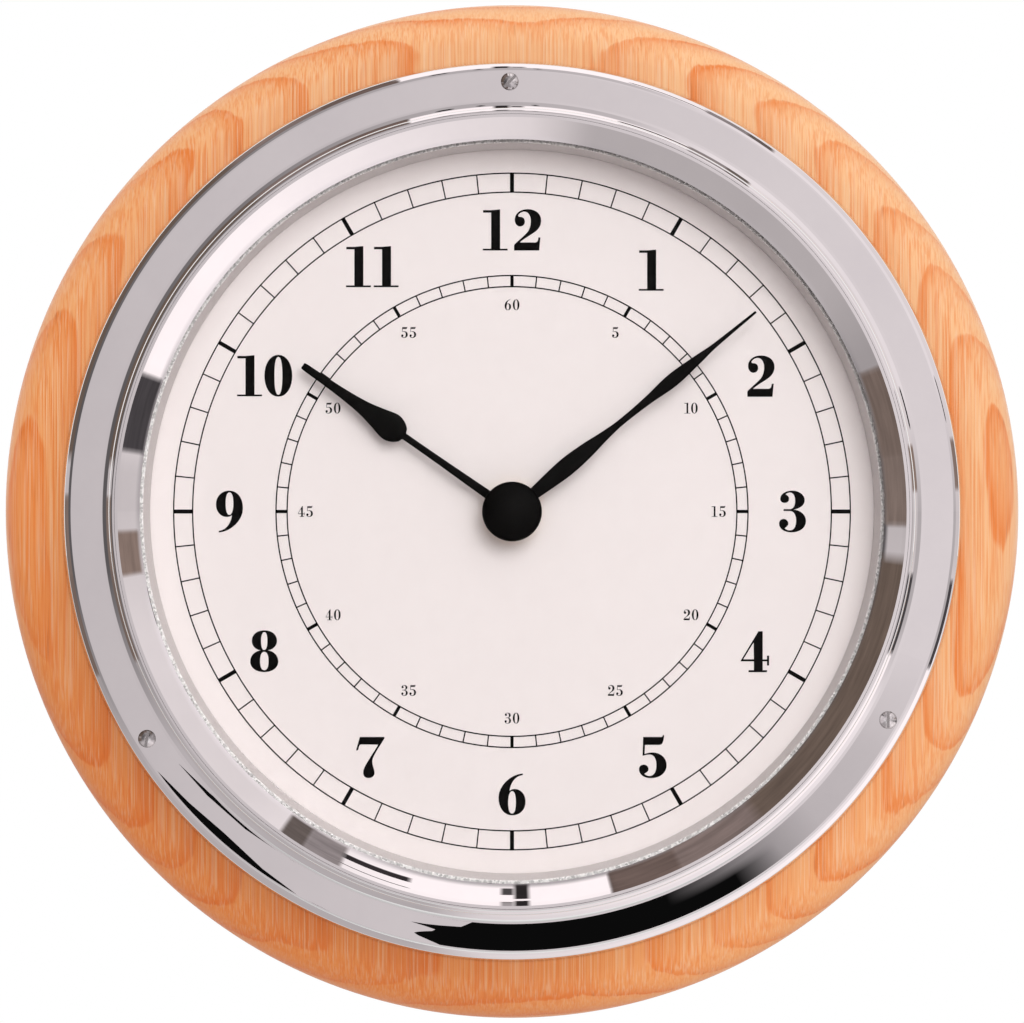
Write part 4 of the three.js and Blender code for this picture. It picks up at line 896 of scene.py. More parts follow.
def tick_ring_tree():
    """A ring of straight ticks round the dial, with every so many left out or kept."""
    tree = bpy.data.node_groups.new("ring_of_ticks", "GeometryNodeTree")
    identifiers = named_inputs(tree, {
        "Count": "NodeSocketInt", "Skip": "NodeSocketInt", "Inside": "NodeSocketFloat",
        "Outside": "NodeSocketFloat", "Width": "NodeSocketFloat", "Back": "NodeSocketFloat",
        "Front": "NodeSocketFloat", "Material": "NodeSocketMaterial"})
    build = Tree(tree)
    given = build.add("NodeGroupInput").outputs
    points = build.add("GeometryNodePoints")
    build.feed(points.inputs["Count"], given["Count"])
    index = build.add("GeometryNodeInputIndex").outputs[0]
    step = build.math("DIVIDE", 2 * math.pi, given["Count"])
    turn = build.times(index, step)
    cube = build.add("GeometryNodeMeshCube")
    size = build.vector(given["Width"], build.math("SUBTRACT", given["Front"], given["Back"]),
                        build.math("SUBTRACT", given["Outside"], given["Inside"]))
    build.feed(cube.inputs["Size"], size)
    shift = build.add("GeometryNodeTransform")
    depth = build.times(build.plus(given["Front"], given["Back"]), -0.5)
    middle = build.times(build.plus(given["Inside"], given["Outside"]), 0.5)
    build.feed(shift.inputs["Geometry"], cube.outputs["Mesh"])
    build.feed(shift.inputs["Translation"], build.vector(0.0, depth, middle))
    spread = build.add("GeometryNodeInstanceOnPoints")
    rest = build.math("MODULO", index, build.math("MAXIMUM", given["Skip"], 1.0))
    every = build.math("LESS_THAN", given["Skip"], 1.0)
    kept = build.math("GREATER_THAN", build.plus(rest, every), 0.5)
    build.feed(spread.inputs["Points"], points.outputs[0])
    build.feed(spread.inputs["Selection"], kept)
    build.feed(spread.inputs["Instance"], shift.outputs[0])
    build.feed(spread.inputs["Rotation"], build.vector(0.0, turn, 0.0))
    hand_out(build, spread, given["Material"])
    return tree, identifiers


def screw_ring_tree():
    """Copies of one screw on a circle, each at its own angle and with its own slot's turn."""
    tree = bpy.data.node_groups.new("ring_of_screws", "GeometryNodeTree")
    identifiers = named_inputs(tree, {
        "Circle": "NodeSocketFloat", "Place 1": "NodeSocketFloat", "Place 2": "NodeSocketFloat",
        "Place 3": "NodeSocketFloat", "Slot 1": "NodeSocketFloat", "Slot 2": "NodeSocketFloat",
        "Slot 3": "NodeSocketFloat", "Material": "NodeSocketMaterial"})
    build = Tree(tree)
    given = build.add("NodeGroupInput").outputs
    index = build.add("GeometryNodeInputIndex").outputs[0]

    def chosen(kind):
        choice = build.add("GeometryNodeIndexSwitch", data_type="FLOAT")
        choice.index_switch_items.new()
        build.feed(choice.inputs[0], index)
        for number in (1, 2, 3):
            build.feed(choice.inputs[number], given[f"{kind} {number}"])
        return choice.outputs[0]

    turn = chosen("Place")
    x = build.times(given["Circle"], build.math("COSINE", turn))
    z = build.times(given["Circle"], build.math("SINE", turn))
    points = build.add("GeometryNodePoints")
    build.feed(points.inputs["Count"], 3)
    build.feed(points.inputs["Position"], build.vector(x, 0.0, z))
    slot_turn = build.times(chosen("Slot"), -1.0)
    spread = build.add("GeometryNodeInstanceOnPoints")
    build.feed(spread.inputs["Points"], points.outputs[0])
    build.feed(spread.inputs["Instance"], given["Geometry"])
    build.feed(spread.inputs["Rotation"], build.vector(0.0, slot_turn, 0.0))
    hand_out(build, spread, given["Material"])
    return tree, identifiers


# Operators


class CLOCK_OT_finishes(bpy.types.Operator):
    """Makes the clock's surfaces and gives the hidden works theirs"""

    bl_idname = "clock.make_finishes"
    bl_label = "Surfaces"

    def execute(self, context):
        FINISHES.update(make_finishes(context.scene))
        for row in frame["record"]["subparts"]:
            materials = frame["nodes"][row["node"]].data.materials
            materials.clear()
            materials.append(FINISHES[row["material_slot"]])
        return {"FINISHED"}


class CLOCK_OT_board(bpy.types.Operator):
    """Turns the wooden board and lets the hanger's recess into its back"""

    bl_idname = "clock.turn_board"
    bl_label = "Wooden board"

    def execute(self, context):
        board = context.scene.clock_board
        case = context.scene.clock_case
        blank = turned("board_blank", [
            (0, BOARD_BACK),
            *arc(BOARD_RADIUS - board.back_round, BOARD_BACK + board.back_round, board.back_round,
                 -90, 0, 12),
            *arc(BOARD_RADIUS - board.front_round, BOARD_FRONT - board.front_round, board.front_round,
                 0, 90, 24),
            (0, BOARD_FRONT),
        ], BOARD_SIDES)
        low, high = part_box("hanger_plate")
        recess = plate("hanger_recess", [rounded_rectangle(
            HANGER_REACH + board.recess_margin, low.z - board.recess_margin,
            high.z + board.recess_margin, board.plate_corner + board.recess_margin)],
            BOARD_BACK - CUT_OVER, HANGER_FRONT + board.recess_margin)
        entry = keyhole_entry(board)
        room = board.keyhole_radius + board.pocket_margin
        pocket = block("nail_pocket", -room, room, entry - room, entry + board.keyhole_travel + room,
                       BOARD_BACK - CUT_OVER, board.pocket_depth)
        pilot_end = BOARD_FRONT - case.screw_length + board.pilot_rest
        pilots = [plate("pilot", [circle(case.screw_shank + SHANK_PLAY, SCREW_SIDES // 2, place)],
                        pilot_end, BOARD_FRONT + CUT_OVER) for place in screw_places(case)]
        mesh = cut_away(blank, recess, pocket, *pilots)
        piece("board", mesh, "board_wood", CASE_BODY, "backing_board")
        return {"FINISHED"}


class CLOCK_OT_hanger(bpy.types.Operator):
    """Makes the keyhole plate and the two screws that hold it"""

    bl_idname = "clock.make_hanger"
    bl_label = "Hanger"

    def execute(self, context):
        board = context.scene.clock_board
        case = context.scene.clock_case
        low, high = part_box("hanger_plate")
        entry = keyhole_entry(board)
        half_slot = board.keyhole_slot / 2
        meet = math.degrees(math.acos(half_slot / board.keyhole_radius))
        keyhole = (arc(0, entry, board.keyhole_radius, 180 - meet, 360 + meet, 40)
                   + arc(0, entry + board.keyhole_travel, half_slot, 0, 180, 20))
        edge = board.plate_edge
        mesh = plate("hanger", [rounded_rectangle(HANGER_REACH, low.z, high.z, board.plate_corner), keyhole],
                     HANGER_BACK, HANGER_FRONT, edge)
        screws = []
        nodes = ("hanger_screw_1", "hanger_screw_2")
        for node in nodes:
            screw_low, screw_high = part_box(node)
            middle = (screw_low + screw_high) / 2
            head = screw_high.x - middle.x
            shank = head - board.hanger_taper
            end = -screw_low.y
            profile = [(0, HANGER_BACK), (head - edge, HANGER_BACK), (head, HANGER_BACK + edge),
                       (shank, HANGER_FRONT), (shank, end - 2 * shank), (0, end)]
            slot = block("slot", -head, head, -case.slot_width / 2, case.slot_width / 2,
                         HANGER_BACK - CUT_OVER, HANGER_BACK + case.slot_depth)
            screw = cut_away(turned("hanger_screw", profile, SCREW_SIDES), slot)
            screw.transform(Matrix.Translation((middle.x, 0, middle.z)))
            screws.append(screw)
            mouth, bore = head + SEAT_PLAY, shank + board.hanger_play
            sink = turned("sink", [(0, HANGER_BACK - CUT_OVER), (mouth, HANGER_BACK - CUT_OVER),
                                   (mouth, HANGER_BACK), (bore, HANGER_FRONT),
                                   (bore, HANGER_FRONT + CUT_OVER), (0, HANGER_FRONT + CUT_OVER)],
                          SCREW_SIDES, (middle.x, middle.z))
            mesh = cut_away(mesh, sink)
        piece("hanger", mesh, "plain_steel", CASE_BODY, "hanger_plate")
        piece("hanger_screws", gathered("hanger_screws", screws), "plain_steel", CASE_BODY, *nodes)
        return {"FINISHED"}


class CLOCK_OT_case(bpy.types.Operator):
    """Turns the chromed case with its flange and countersinks"""

    bl_idname = "clock.turn_case"
    bl_label = "Chromed case"

    def execute(self, context):
        case = context.scene.clock_case
        flange_front = flange_face(case)
        bore = case.wall_radius - case.wall
        ledge_front = SEAL_BACK - SEAT_PLAY
        ledge_back = ledge_front - case.ledge_thickness
        ledge_bore = bore - case.ledge_width
        blank = turned("case_blank", [
            (bore, FLANGE_BACK),
            (FLANGE_RADIUS, FLANGE_BACK),
            *arc(FLANGE_RADIUS - case.flange_round, flange_front - case.flange_round, case.flange_round,
                 0, 90, 10),
            *arc(case.wall_radius + case.cove, flange_front + case.cove, case.cove, 270, 180, 14),
            *arc(case.wall_radius - case.rim_round, RIM_FRONT - case.rim_round, case.rim_round, 0, 90, 10),
            (bore, RIM_FRONT),
            (bore, ledge_front),
            (ledge_bore, ledge_front),
            (ledge_bore, ledge_back),
            (bore, ledge_back),
        ], RING_SIDES)
        sink_depth = case.screw_head - case.screw_shank
        sink_bore = case.screw_shank + SHANK_PLAY
        sink_mouth = case.screw_head + case.screw_gap
        profile = [(0, FLANGE_BACK - CUT_OVER), (sink_bore, FLANGE_BACK - CUT_OVER),
                   (sink_bore, flange_front - sink_depth - SHANK_PLAY), (sink_mouth, flange_front),
                   (sink_mouth, flange_front + CUT_OVER), (0, flange_front + CUT_OVER)]
        sinks = [turned("countersink", profile, SCREW_SIDES, place) for place in screw_places(case)]
        piece("case", cut_away(blank, *sinks), "chrome", CASE_BODY, "case_body")
        return {"FINISHED"}


class CLOCK_OT_screws(bpy.types.Operator):
    """Sets the slotted screws into the flange"""

    bl_idname = "clock.set_screws"
    bl_label = "Flange screws"

    def execute(self, context):
        case = context.scene.clock_case
        flange_front = flange_face(case)
        end = flange_front - case.screw_length
        bend = (case.screw_head ** 2 + case.screw_dome ** 2) / (2 * case.screw_dome)
        spread = math.degrees(math.asin(case.screw_head / bend))
        dome = arc(0, flange_front + case.screw_dome - bend, bend, 90 - spread, 90, 8)[:-1]
        profile = [(0, end), (case.screw_shank, end + 2 * case.screw_shank),
                   (case.screw_shank, flange_front - case.screw_head + case.screw_shank),
                   *dome, (0, flange_front + case.screw_dome)]
        slot = block("slot", -2 * case.screw_head, 2 * case.screw_head, -case.slot_width / 2,
                     case.slot_width / 2, flange_front + case.screw_dome - case.slot_depth,
                     flange_front + 2 * case.screw_dome)
        screw = cut_away(turned("flange_screw", profile, SCREW_SIDES), slot)
        tree, identifiers = screw_ring_tree()
        mesh = grown("flange_screws", screw, tree, identifiers, {
            "Circle": case.screw_circle, "Place 1": case.first_screw, "Place 2": case.second_screw,
            "Place 3": case.third_screw, "Slot 1": case.first_slot, "Slot 2": case.second_slot,
            "Slot 3": case.third_slot, "Material": FINISHES["screw_chrome"]})
        piece("flange_screws", settle_shading(mesh), "chrome", CASE_BODY,
              "flange_screw_1", "flange_screw_2", "flange_screw_3", finish="screw_chrome")
        return {"FINISHED"}


class CLOCK_OT_window(bpy.types.Operator):
    """Makes the bezel, the glass, its seal and the reflector ring"""

    bl_idname = "clock.make_window"
    bl_label = "Window"

    def execute(self, context):
        window = context.scene.clock_window
        case = context.scene.clock_case
        mouth = BEZEL_RADIUS - window.bezel_breadth
        outside = case.wall_radius - case.wall - window.bezel_play
        bezel = turned("bezel", [
            (mouth, BEZEL_BACK),
            (outside, BEZEL_BACK),
            (outside, BEZEL_FRONT),
            (outside - window.bezel_lip, BEZEL_FRONT),
            *bowed((BEZEL_RADIUS - window.bevel_inside, BEZEL_FRONT - window.bevel_depth),
                   (mouth, BEZEL_BACK + SEAT_PLAY), window.funnel_bow, 12),
        ], RING_SIDES)
        piece("bezel", bezel, "chrome", CASE_BODY, "bezel_ring")
        edge = window.glass_edge
        pane = turned("pane", [
            (0, GLASS_BACK), (GLASS_RADIUS - edge, GLASS_BACK), (GLASS_RADIUS, GLASS_BACK + edge),
            (GLASS_RADIUS, GLASS_FRONT - edge), (GLASS_RADIUS - edge, GLASS_FRONT), (0, GLASS_FRONT)],
            DISC_SIDES)
        glass = piece("window_pane", pane, "window_glass", CASE_BODY, "glass")
        glass.visible_shadow = False
        seal_bore = mouth - window.seal_shown
        bead = window.seal_round
        seal = turned("seal", [
            (seal_bore, SEAL_BACK), (SEAL_RADIUS, SEAL_BACK), (SEAL_RADIUS, SEAL_FRONT),
            *arc(seal_bore + bead, SEAL_FRONT - bead, bead, 90, 180, 5)], RING_SIDES)
        piece("seal", seal, "pale_seal", CASE_BODY, "glass_seal")
        ledge_back = REHAUT_FRONT - case.ledge_thickness - SEAT_PLAY
        collar = case.wall_radius - case.wall - case.ledge_width - SEAT_PLAY
        rehaut = turned("rehaut", [
            (seal_bore - window.rehaut_taper, REHAUT_BACK), (REHAUT_RADIUS, REHAUT_BACK),
            (REHAUT_RADIUS, ledge_back), (collar, ledge_back), (collar, REHAUT_FRONT),
            (seal_bore, REHAUT_FRONT)], RING_SIDES)
        piece("rehaut", rehaut, "rehaut_grey", CASE_BODY, "rehaut_ring")
        return {"FINISHED"}


class CLOCK_OT_dial(bpy.types.Operator):
    """Makes the dial and prints its tracks, numerals and minute numbers"""

    bl_idname = "clock.print_dial"
    bl_label = "Dial"

    def execute(self, context):
        dial = context.scene.clock_dial
        disc = band("dial", dial.hole, DIAL_RADIUS, DIAL_BACK, DIAL_FRONT, DISC_SIDES)
        piece("dial", disc, "dial_white", CASE_BODY, "dial_plate")
        back = DIAL_FRONT - dial.print_rise / 2
        front = DIAL_FRONT + dial.print_rise
        tree, identifiers = tick_ring_tree()
        tracks = (("outer_track", dial.outer_track, dial.outer_width, dial.outer_bold),
                  ("inner_track", dial.inner_track, dial.inner_width, dial.inner_bold))
        half_line = dial.thin_line / 2
        for name, outside, width, bold in tracks:
            rows = ((dial.minutes, dial.minutes // dial.hours, dial.thin_line), (dial.hours, 0, bold))
            marks = [grown(name, bpy.data.meshes.new(name), tree, identifiers, {
                "Count": count, "Skip": skip, "Inside": outside - width, "Outside": outside, "Width": tick,
                "Back": back, "Front": front, "Material": FINISHES["hand_black"]})
                for count, skip, tick in rows]
            rims = [band(name, middle - half_line, middle + half_line, back, front, RING_SIDES)
                    for middle in (outside, outside - width)]
            piece(name, gathered(name, marks + rims), "hand_black", CASE_BODY)
        numbers = []
        numerals = []
        for hour in range(1, dial.hours + 1):
            turn = 2 * math.pi * hour / dial.hours
            way = (math.sin(turn), math.cos(turn))
            shift = NUMERAL_SHIFTS.get(hour, (0, 0))
            place = [dial.numeral_circle * part + off * MM for part, off in zip(way, shift)]
            outlines = number_outlines(str(hour), dial.numeral_height, dial.figure_gap, place)
            numerals.append(plate("numeral", outlines, back, front))
            place = [dial.number_circle * part for part in way]
            text = str(hour * dial.minutes // dial.hours)
            outlines = number_outlines(text, dial.number_height, dial.figure_gap, place,
                                       dial.number_lightness, dial.number_width)
            numbers.append(plate("number", outlines, back, front, resolution=4))
        for name, meshes in (("hour_numerals", numerals), ("minute_numbers", numbers)):
            piece(name, gathered(name, meshes), "hand_black", CASE_BODY)
        return {"FINISHED"}


class CLOCK_OT_hands(bpy.types.Operator):
    """Makes the two hands and the cap that covers their hubs"""

    bl_idname = "clock.make_hands"
    bl_label = "Hands"

    def execute(self, context):
        hands = context.scene.clock_hands
        minute_edge = smooth_edge(MINUTE_OUTLINE)
        minute_bore = circle(hands.minute_bore, SCREW_SIDES)
        minute = plate("minute", [hand_outline(minute_edge, hands.hub), minute_bore],
                       MINUTE_BACK, MINUTE_FRONT, hands.edge_round)
        minute.transform(Matrix.Rotation(hands.minute_angle, 4, "Y"))
        piece("minute_hand_blade", minute, "hand_black", "minute", "minute_hand")
        hour_edge = smooth_edge(HOUR_STEM) + smooth_edge(HOUR_PEAR)
        blade_back = HOUR_FRONT - hands.hour_blade
        hour_bore = circle(hands.hour_bore, SCREW_SIDES)
        blade = plate("hour", [hand_outline(hour_edge, hands.hub), hour_bore],
                      blade_back, HOUR_FRONT, hands.edge_round)
        collet = band("collet", hands.hour_bore, hands.hub, HOUR_BACK, blade_back, SCREW_SIDES)
        hour = gathered("hour", [blade, collet])
        hour.transform(Matrix.Rotation(hands.hour_angle, 4, "Y"))
        piece("hour_hand_blade", hour, "hand_black", "hour", "hour_hand")
        height = CAP_FRONT - CAP_BACK
        edge = hands.cap_edge
        crown = height - edge
        bend = (CAP_RADIUS ** 2 + crown ** 2) / (2 * crown)
        spread = math.degrees(math.asin((CAP_RADIUS - edge) / bend))
        dome = arc(0, CAP_FRONT - bend, bend, 90 - spread, 90, 16)[:-1]
        socket_end = CAP_BACK + height / 2 + SEAT_PLAY
        cap = turned("cap", [
            (0, socket_end), (hands.cap_socket, socket_end), (hands.cap_socket, CAP_BACK),
            (CAP_RADIUS - edge / 2, CAP_BACK),
            *arc(CAP_RADIUS - edge, CAP_BACK + edge, edge, -30, 60, 6),
            *dome, (0, CAP_FRONT)], CAP_SIDES)
        piece("hands_cap", cap, "hand_black", "minute", "hand_cap")
        return {"FINISHED"}


# The round room that the chrome mirrors, in metres. Depths run from the wall towards the viewer.
WALL_RADIUS = 0.58
WALL_BACK = -0.08
WALL_FRONT = 0.85  # from here the room widens
WALL_THICKNESS = 0.005
FAR_RADIUS = 0.9
FAR_THICKNESS = 0.01
OPENING_RADIUS = 0.211
STAND_INSIDE = 0.232
STAND_OUTSIDE = 0.252
CARD_STEP = 0.01  # between two cards in front of the room's far end
PANEL_RADIUS = 0.56
PANEL_STEP = 0.002  # each panel stands a little nearer than the one before
PANEL_EDGE = 0.007  # width in which a panel melts into the wall
COOL_WHITE = (1.0, 0.91, 0.925)
WARM_WHITE = (1.0, 0.905, 0.912)
STAND_GREY = (0.775, 0.705, 0.717)
BLACK = (0.004, 0.004, 0.004)
# Shades round the room, in degrees anticlockwise from three o'clock: its far part and its near part
FAR_WALLS = (
    (0, 0.52), (18, 0.9), (60, 0.95), (75, 0.6), (108, 0.46), (128, 0.24), (165, 0.12), (188, 0.12),
    (216, 0.55), (258, 0.5), (265, 0.8), (300, 1.0), (330, 0.98), (345, 0.5),
)
NEAR_WALLS = (
    (0, 0.68), (20, 0.84), (47, 0.82), (75, 1.2), (103, 1.2), (172, 0.62), (203, 0.4),
    (216, 0.51), (258, 0.52), (267, 0.84), (288, 1.0), (315, 1.2), (338, 1.2), (354, 0.66),
)
# Shades, the two heights between which they come in, and tint
ROOM_PARTS = ((FAR_WALLS, -2.0, -1.4, COOL_WHITE), (NEAR_WALLS, -0.47, -0.4, WARM_WHITE))
# Furnishings along the walls: from and to in degrees, back and front, shade
ROOM_PANELS = (
    (2.5, 9.8, -0.06, 0.48, (0.27, 0.195, 0.165)),
    (53.7, 58.8, 0.06, 0.48, (0.15, 0.12, 0.11)),
    (57.6, 64.5, 0.06, 0.48, (0.31, 0.265, 0.265)),
    (63.5, 75, 0.25, 0.335, (0.04, 0.033, 0.035)),
    (88, 90.6, 0.27, 0.4, (0.09, 0.08, 0.082)),
    (90, 92.9, 0.2, 0.48, (0.03, 0.025, 0.026)),
    (104.4, 106.6, 0.15, 0.46, (0.02, 0.018, 0.018)),
    (104.5, 120, -0.06, 0.5, (0.17, 0.12, 0.105)),
    (115, 134, -0.06, 0.5, (0.24, 0.18, 0.165)),
    (128, 174, -0.06, 0.5, (0.155, 0.112, 0.09)),
    (177.5, 192, -0.06, 0.48, (0.23, 0.172, 0.148)),
    (188, 202, -0.06, 0.48, (0.2, 0.147, 0.125)),
    (339, 351.5, 0.06, 0.48, (0.07, 0.062, 0.066)),
    (11.5, 18, 0.45, 0.62, BLACK),
    (86, 87.4, 0.45, 0.62, BLACK),
    (93.6, 95.2, 0.45, 0.62, BLACK),
    (98, 101, 0.45, 0.62, BLACK),
)
# Outlines of two cables and of the stand's end in front of the clock: degrees, distance from the axis
CABLE_OUTLINES = (
    ((214, 0.2527), (222, 0.252), (228, 0.2522), (235, 0.2528), (241, 0.2532), (250, 0.2534), (260, 0.253),
     (250, 0.2523), (241, 0.2512), (235, 0.2489), (228, 0.2465), (222, 0.2484)),
    ((217, 0.2388), (223, 0.238), (230, 0.237), (238, 0.2358), (246, 0.235), (238, 0.2338), (230, 0.2342),
     (223, 0.236)),
)
STAND_END = (
    (263, 0.2385), (260.2, 0.2394), (258.2, 0.2401), (256.1, 0.2407), (258, 0.2413), (259.6, 0.2422),
    (259.2, 0.2434), (258.2, 0.2444), (257.3, 0.2455), (256.9, 0.2464), (257.5, 0.2474), (258.6, 0.2484),
    (259.6, 0.2494), (260.6, 0.2505), (261.6, 0.2517),
)


def glow(name, build_colour=None, shade=None, cover=None):
    """A light surface for the studio: a plain shade or one that a function builds."""
    material = bpy.data.materials.new(name)
    material.use_nodes = True
    material.cycles.emission_sampling = "NONE"
    tree = Tree(material.node_tree)
    tree.nodes.remove(tree.nodes["Principled BSDF"])
    light = tree.add("ShaderNodeEmission")
    if build_colour:
        build_colour(tree, light.inputs["Color"])
    else:
        light.inputs["Color"].default_value = (*shade, 1)
    surface = light.outputs[0]
    if cover:
        melted = tree.add("ShaderNodeMixShader")
        tree.links.new(tree.add("ShaderNodeAttribute", attribute_name=cover).outputs["Fac"], melted.inputs[0])
        tree.links.new(tree.add("ShaderNodeBsdfTransparent").outputs[0], melted.inputs[1])
        tree.links.new(surface, melted.inputs[2])
        surface = melted.outputs[0]
    tree.links.new(surface, tree.nodes["Material Output"].inputs["Surface"])
    return material


def reflected_only(item):
    item.visible_camera = False
    item.visible_diffuse = False
    item.visible_shadow = False
    return item


def studio_card(name, corners, material):
    """A studio panel that only shows in reflections."""
    mesh = bpy.data.meshes.new(name)
    mesh.from_pydata(corners, [], [range(len(corners))])
    mesh.materials.append(material)
    reflected_only(shown(name, mesh))


class CLOCK_OT_stage(bpy.types.Operator):
    """Sets the camera, the studio light, the floor and the background"""

    bl_idname = "clock.set_stage"
    bl_label = "Stage"

    def execute(self, context):
        scene = context.scene
        stage = scene.clock_stage
        scene.view_settings.view_transform = "Standard"
        flange_front = flange_face(scene.clock_case)
        camera = bpy.data.objects.new("camera", bpy.data.cameras.new("camera"))
        scene.collection.objects.link(camera)
        camera.location = (0, -flange_front - stage.camera_distance, 0)
        camera.rotation_euler = (math.radians(90), 0, 0)
        camera.data.sensor_width = 36
        camera.data.lens = camera.data.sensor_width * stage.camera_distance / stage.picture_width
        camera.data.clip_start = 0.05
        camera.data.clip_end = 50
        scene.camera = camera
        self.light(scene, stage)
        self.floor(scene, stage)
        self.room(stage, flange_front)
        return {"FINISHED"}

    def light(self, scene, stage):
        world = bpy.data.worlds.new("studio")
        scene.world = world
        world.use_nodes = True
        tree = Tree(world.node_tree)
        background = tree.nodes["Background"]
        path = tree.add("ShaderNodeLightPath").outputs
        seen = tree.math("MAXIMUM", tree.math("MAXIMUM", path["Is Camera Ray"], path["Is Glossy Ray"]),
                         path["Is Transmission Ray"])
        direct = tree.math("LESS_THAN", path["Diffuse Depth"], 0.5)
        extra = tree.times(seen, direct, 1 - stage.soft_light)
        tree.links.new(tree.plus(extra, stage.soft_light), background.inputs["Strength"])
        background.inputs["Color"].default_value = (1, 1, 1, 1)
        lamp = bpy.data.lights.new("key_light", "AREA")
        lamp.shape = "DISK"
        lamp.size = stage.key_size
        lamp.energy = stage.key_power
        key = bpy.data.objects.new("key_light", lamp)
        scene.collection.objects.link(key)
        key.visible_glossy = False
        key.location = stage.key_place
        key.rotation_euler = (-key.location).to_track_quat("-Z", "Y").to_euler()

    def floor(self, scene, stage):
        half = stage.floor_size / 2
        mesh = bpy.data.meshes.new("floor")
        corners = [(-half, -half, -stage.floor_drop), (half, -half, -stage.floor_drop),
                   (half, half, -stage.floor_drop), (-half, half, -stage.floor_drop)]
        mesh.from_pydata(corners, [], [(0, 1, 2, 3)])
        finish = Finish("pale_floor")
        finish.plain(Base_Color=(*stage.floor_colour, 1), Roughness=0.8)
        mesh.materials.append(finish.material)
        shown("floor", mesh)

    def room(self, stage, flange_front):
        """The grey room in front of the clock, its dark opening and stand, and the walls at its sides."""
        depth = -flange_front - stage.room_distance

        def room_shade(tree, socket):
            across, away, along = tree.parts()
            turn = tree.math("ARCTAN2", along, across)
            share = tree.math("FRACT", tree.math("DIVIDE", turn, 2 * math.pi))
            lightness = tree.span(across, -0.26, 0.26, 0.62, 0.8)
            shade = tree.blend(1.0, lightness, COOL_WHITE, "MULTIPLY")
            for walls, start, end, tint in ROOM_PARTS:
                ramp = tree.ramp(share, *((degrees / 360, grey) for degrees, grey in walls))
                tinted = tree.blend(1.0, ramp, tint, "MULTIPLY")
                shade = tree.blend(tree.span(away, start, end, 0.0, 1.0), shade, tinted)
            tree.links.new(shade, socket)

        def stand_shade(tree, socket):
            across, _, along = tree.parts()
            radius = tree.diagonal(across, along)
            turn = tree.math("ARCTAN2", across, tree.times(along, -1.0))
            fade = tree.ramp(tree.span(turn, 0.38, 1.2, 0.0, 1.0), (0.0, 0.0), (0.18, 0.22), (0.49, 0.75),
                             (0.73, 0.8), (1.0, 1.0))
            streak = tree.times(tree.span(radius, 0.238, 0.243, 0.0, 1.0),
                                tree.span(turn, 0.55, 0.67, 1.0, 0.0))
            lit = tree.times(fade, tree.math("SUBTRACT", 1.0, streak))
            tree.links.new(tree.blend(lit, BLACK, STAND_GREY), socket)

        far = -depth
        wall_outside = WALL_RADIUS + WALL_THICKNESS
        room = turned("room", [
            (0, far), (FAR_RADIUS, far), (WALL_RADIUS, WALL_FRONT), (WALL_RADIUS, WALL_BACK),
            (wall_outside, WALL_BACK), (wall_outside, WALL_FRONT),
            (FAR_RADIUS + FAR_THICKNESS, far + FAR_THICKNESS), (0, far + FAR_THICKNESS)], ROOM_SIDES)
        room.materials.append(glow("room_walls", room_shade))
        reflected_only(shown("room", room))
        black = glow("room_black", shade=BLACK)

        def card(name, layer, outline, material):
            studio_card(name, [(x, depth + layer * CARD_STEP, z) for x, z in outline], material)

        def placed(outline):
            return [around(radius, turn) for turn, radius in outline]

        card("opening", 2, circle(OPENING_RADIUS, 64), black)
        stand = (arc(0, 0, STAND_OUTSIDE, 262, 340, 36) + arc(0, 0, STAND_INSIDE, 340, 266, 36)
                 + placed(STAND_END))
        card("camera_stand", 4, stand, glow("stand", stand_shade))
        for outline in CABLE_OUTLINES:
            card("cable", 3, placed(outline), black)
        for number, (start, end, back, front, shade) in enumerate(ROOM_PANELS):
            self.panel(f"panel_{number}", PANEL_RADIUS - PANEL_STEP * number, start, end, back, front, shade)

    def panel(self, name, radius, start, end, back, front, shade):
        """A panel along the room's wall, whose edges melt into it."""
        rows, columns = 8, 24
        points, cover = [], []
        for column in range(columns + 1):
            x, z = around(radius, start + (end - start) * column / columns)
            side_gap = min(column, columns - column) / columns * math.radians(end - start) * radius
            for row in range(rows + 1):
                height = back + (front - back) * row / rows
                front_gap = (rows - row) / rows * (front - back)
                points.append((x, -height, z))
                cover.append(min(side_gap / PANEL_EDGE, front_gap / PANEL_EDGE, 1))
        line = rows + 1
        faces = [(corner, corner + 1, corner + line + 1, corner + line)
                 for column in range(columns)
                 for corner in range(column * line, column * line + rows)]
        mesh = bpy.data.meshes.new(name)
        mesh.from_pydata(points, [], faces)
        mesh.attributes.new("cover", "FLOAT", "POINT").data.foreach_set("value", cover)

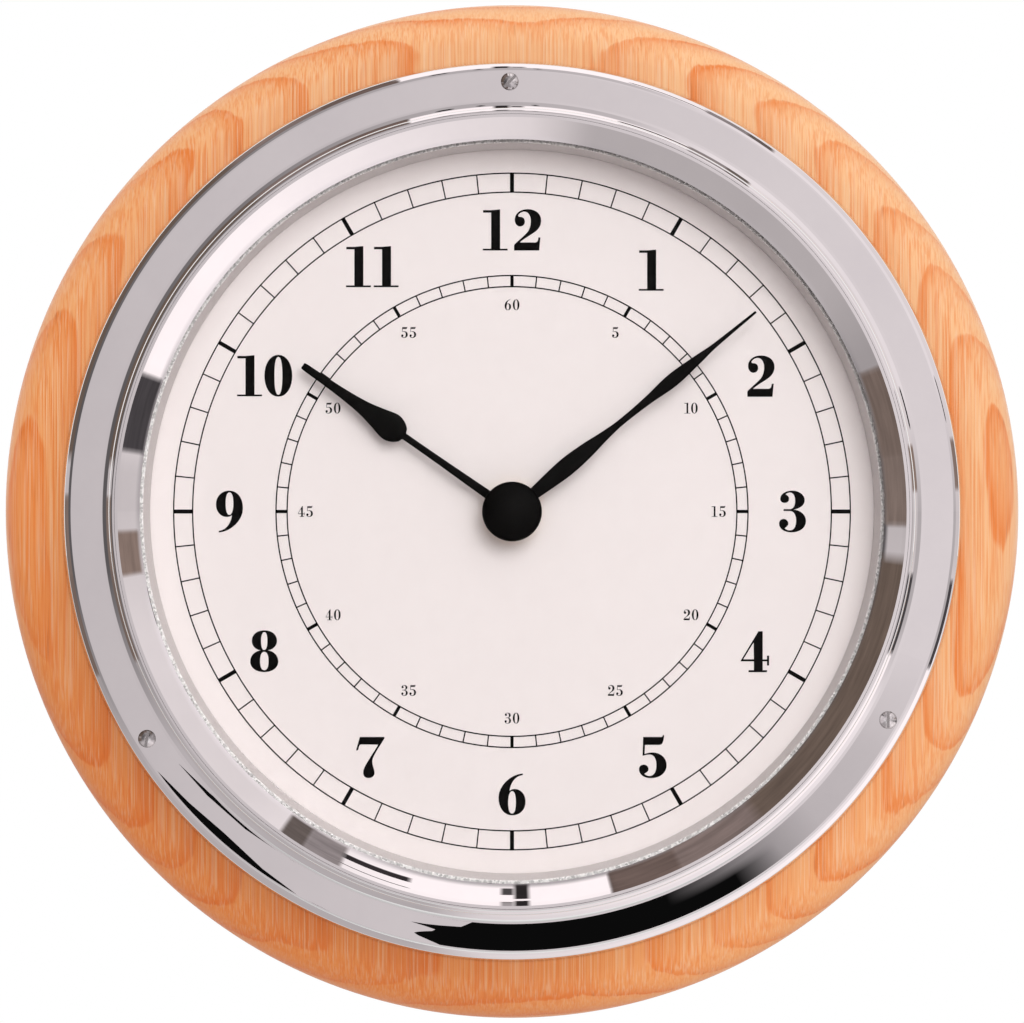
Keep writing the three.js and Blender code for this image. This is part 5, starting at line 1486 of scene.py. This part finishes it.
        def worn_shade(tree, socket):
            spots = tree.add("ShaderNodeTexNoise")
            tree.links.new(tree.add("ShaderNodeTexCoord").outputs["Object"], spots.inputs["Vector"])
            spots.inputs["Scale"].default_value = 14
            spots.inputs["Detail"].default_value = 3
            tone = tree.ramp(spots.outputs["Fac"], (0.3, 0.72), (0.7, 1.0))
            lifted = tuple(min(1.15 * part, 1.0) for part in shade)  # makes up for the darker spots
            tree.links.new(tree.blend(1.0, tone, lifted, "MULTIPLY"), socket)

        mesh.materials.append(glow(name, worn_shade, cover="cover"))
        reflected_only(shown(name, mesh))


SETTINGS = {
    "clock_board": ClockBoardSettings,
    "clock_case": ClockCaseSettings,
    "clock_window": ClockWindowSettings,
    "clock_dial": ClockDialSettings,
    "clock_hands": ClockHandSettings,
    "clock_stage": ClockStageSettings,
}
OPERATORS = (CLOCK_OT_finishes, CLOCK_OT_board, CLOCK_OT_hanger, CLOCK_OT_case, CLOCK_OT_screws,
             CLOCK_OT_window, CLOCK_OT_dial, CLOCK_OT_hands, CLOCK_OT_stage)


class CLOCK_PT_pieces(bpy.types.Panel):
    """Lists the clock's pieces and their settings"""

    bl_idname = "CLOCK_PT_pieces"
    bl_label = "Ship's clock"
    bl_space_type = "VIEW_3D"
    bl_region_type = "UI"
    bl_category = "Ship's clock"

    def draw(self, context):
        for operator in OPERATORS:
            self.layout.operator(operator.bl_idname)
        for name, group in SETTINGS.items():
            box = self.layout.box()
            for setting in group.__annotations__:
                box.prop(getattr(context.scene, name), setting)


def register():
    for name, group in SETTINGS.items():
        bpy.utils.register_class(group)
        setattr(bpy.types.Scene, name, PointerProperty(type=group))
    for item in (*OPERATORS, CLOCK_PT_pieces):
        bpy.utils.register_class(item)


def unregister():
    for item in (CLOCK_PT_pieces, *reversed(OPERATORS)):
        bpy.utils.unregister_class(item)
    for name, group in SETTINGS.items():
        delattr(bpy.types.Scene, name)
        bpy.utils.unregister_class(group)


def main():
    register()
    for operator in OPERATORS:
        group, name = operator.bl_idname.split(".")
        getattr(getattr(bpy.ops, group), name)()


if __name__ == "__main__":
    main()
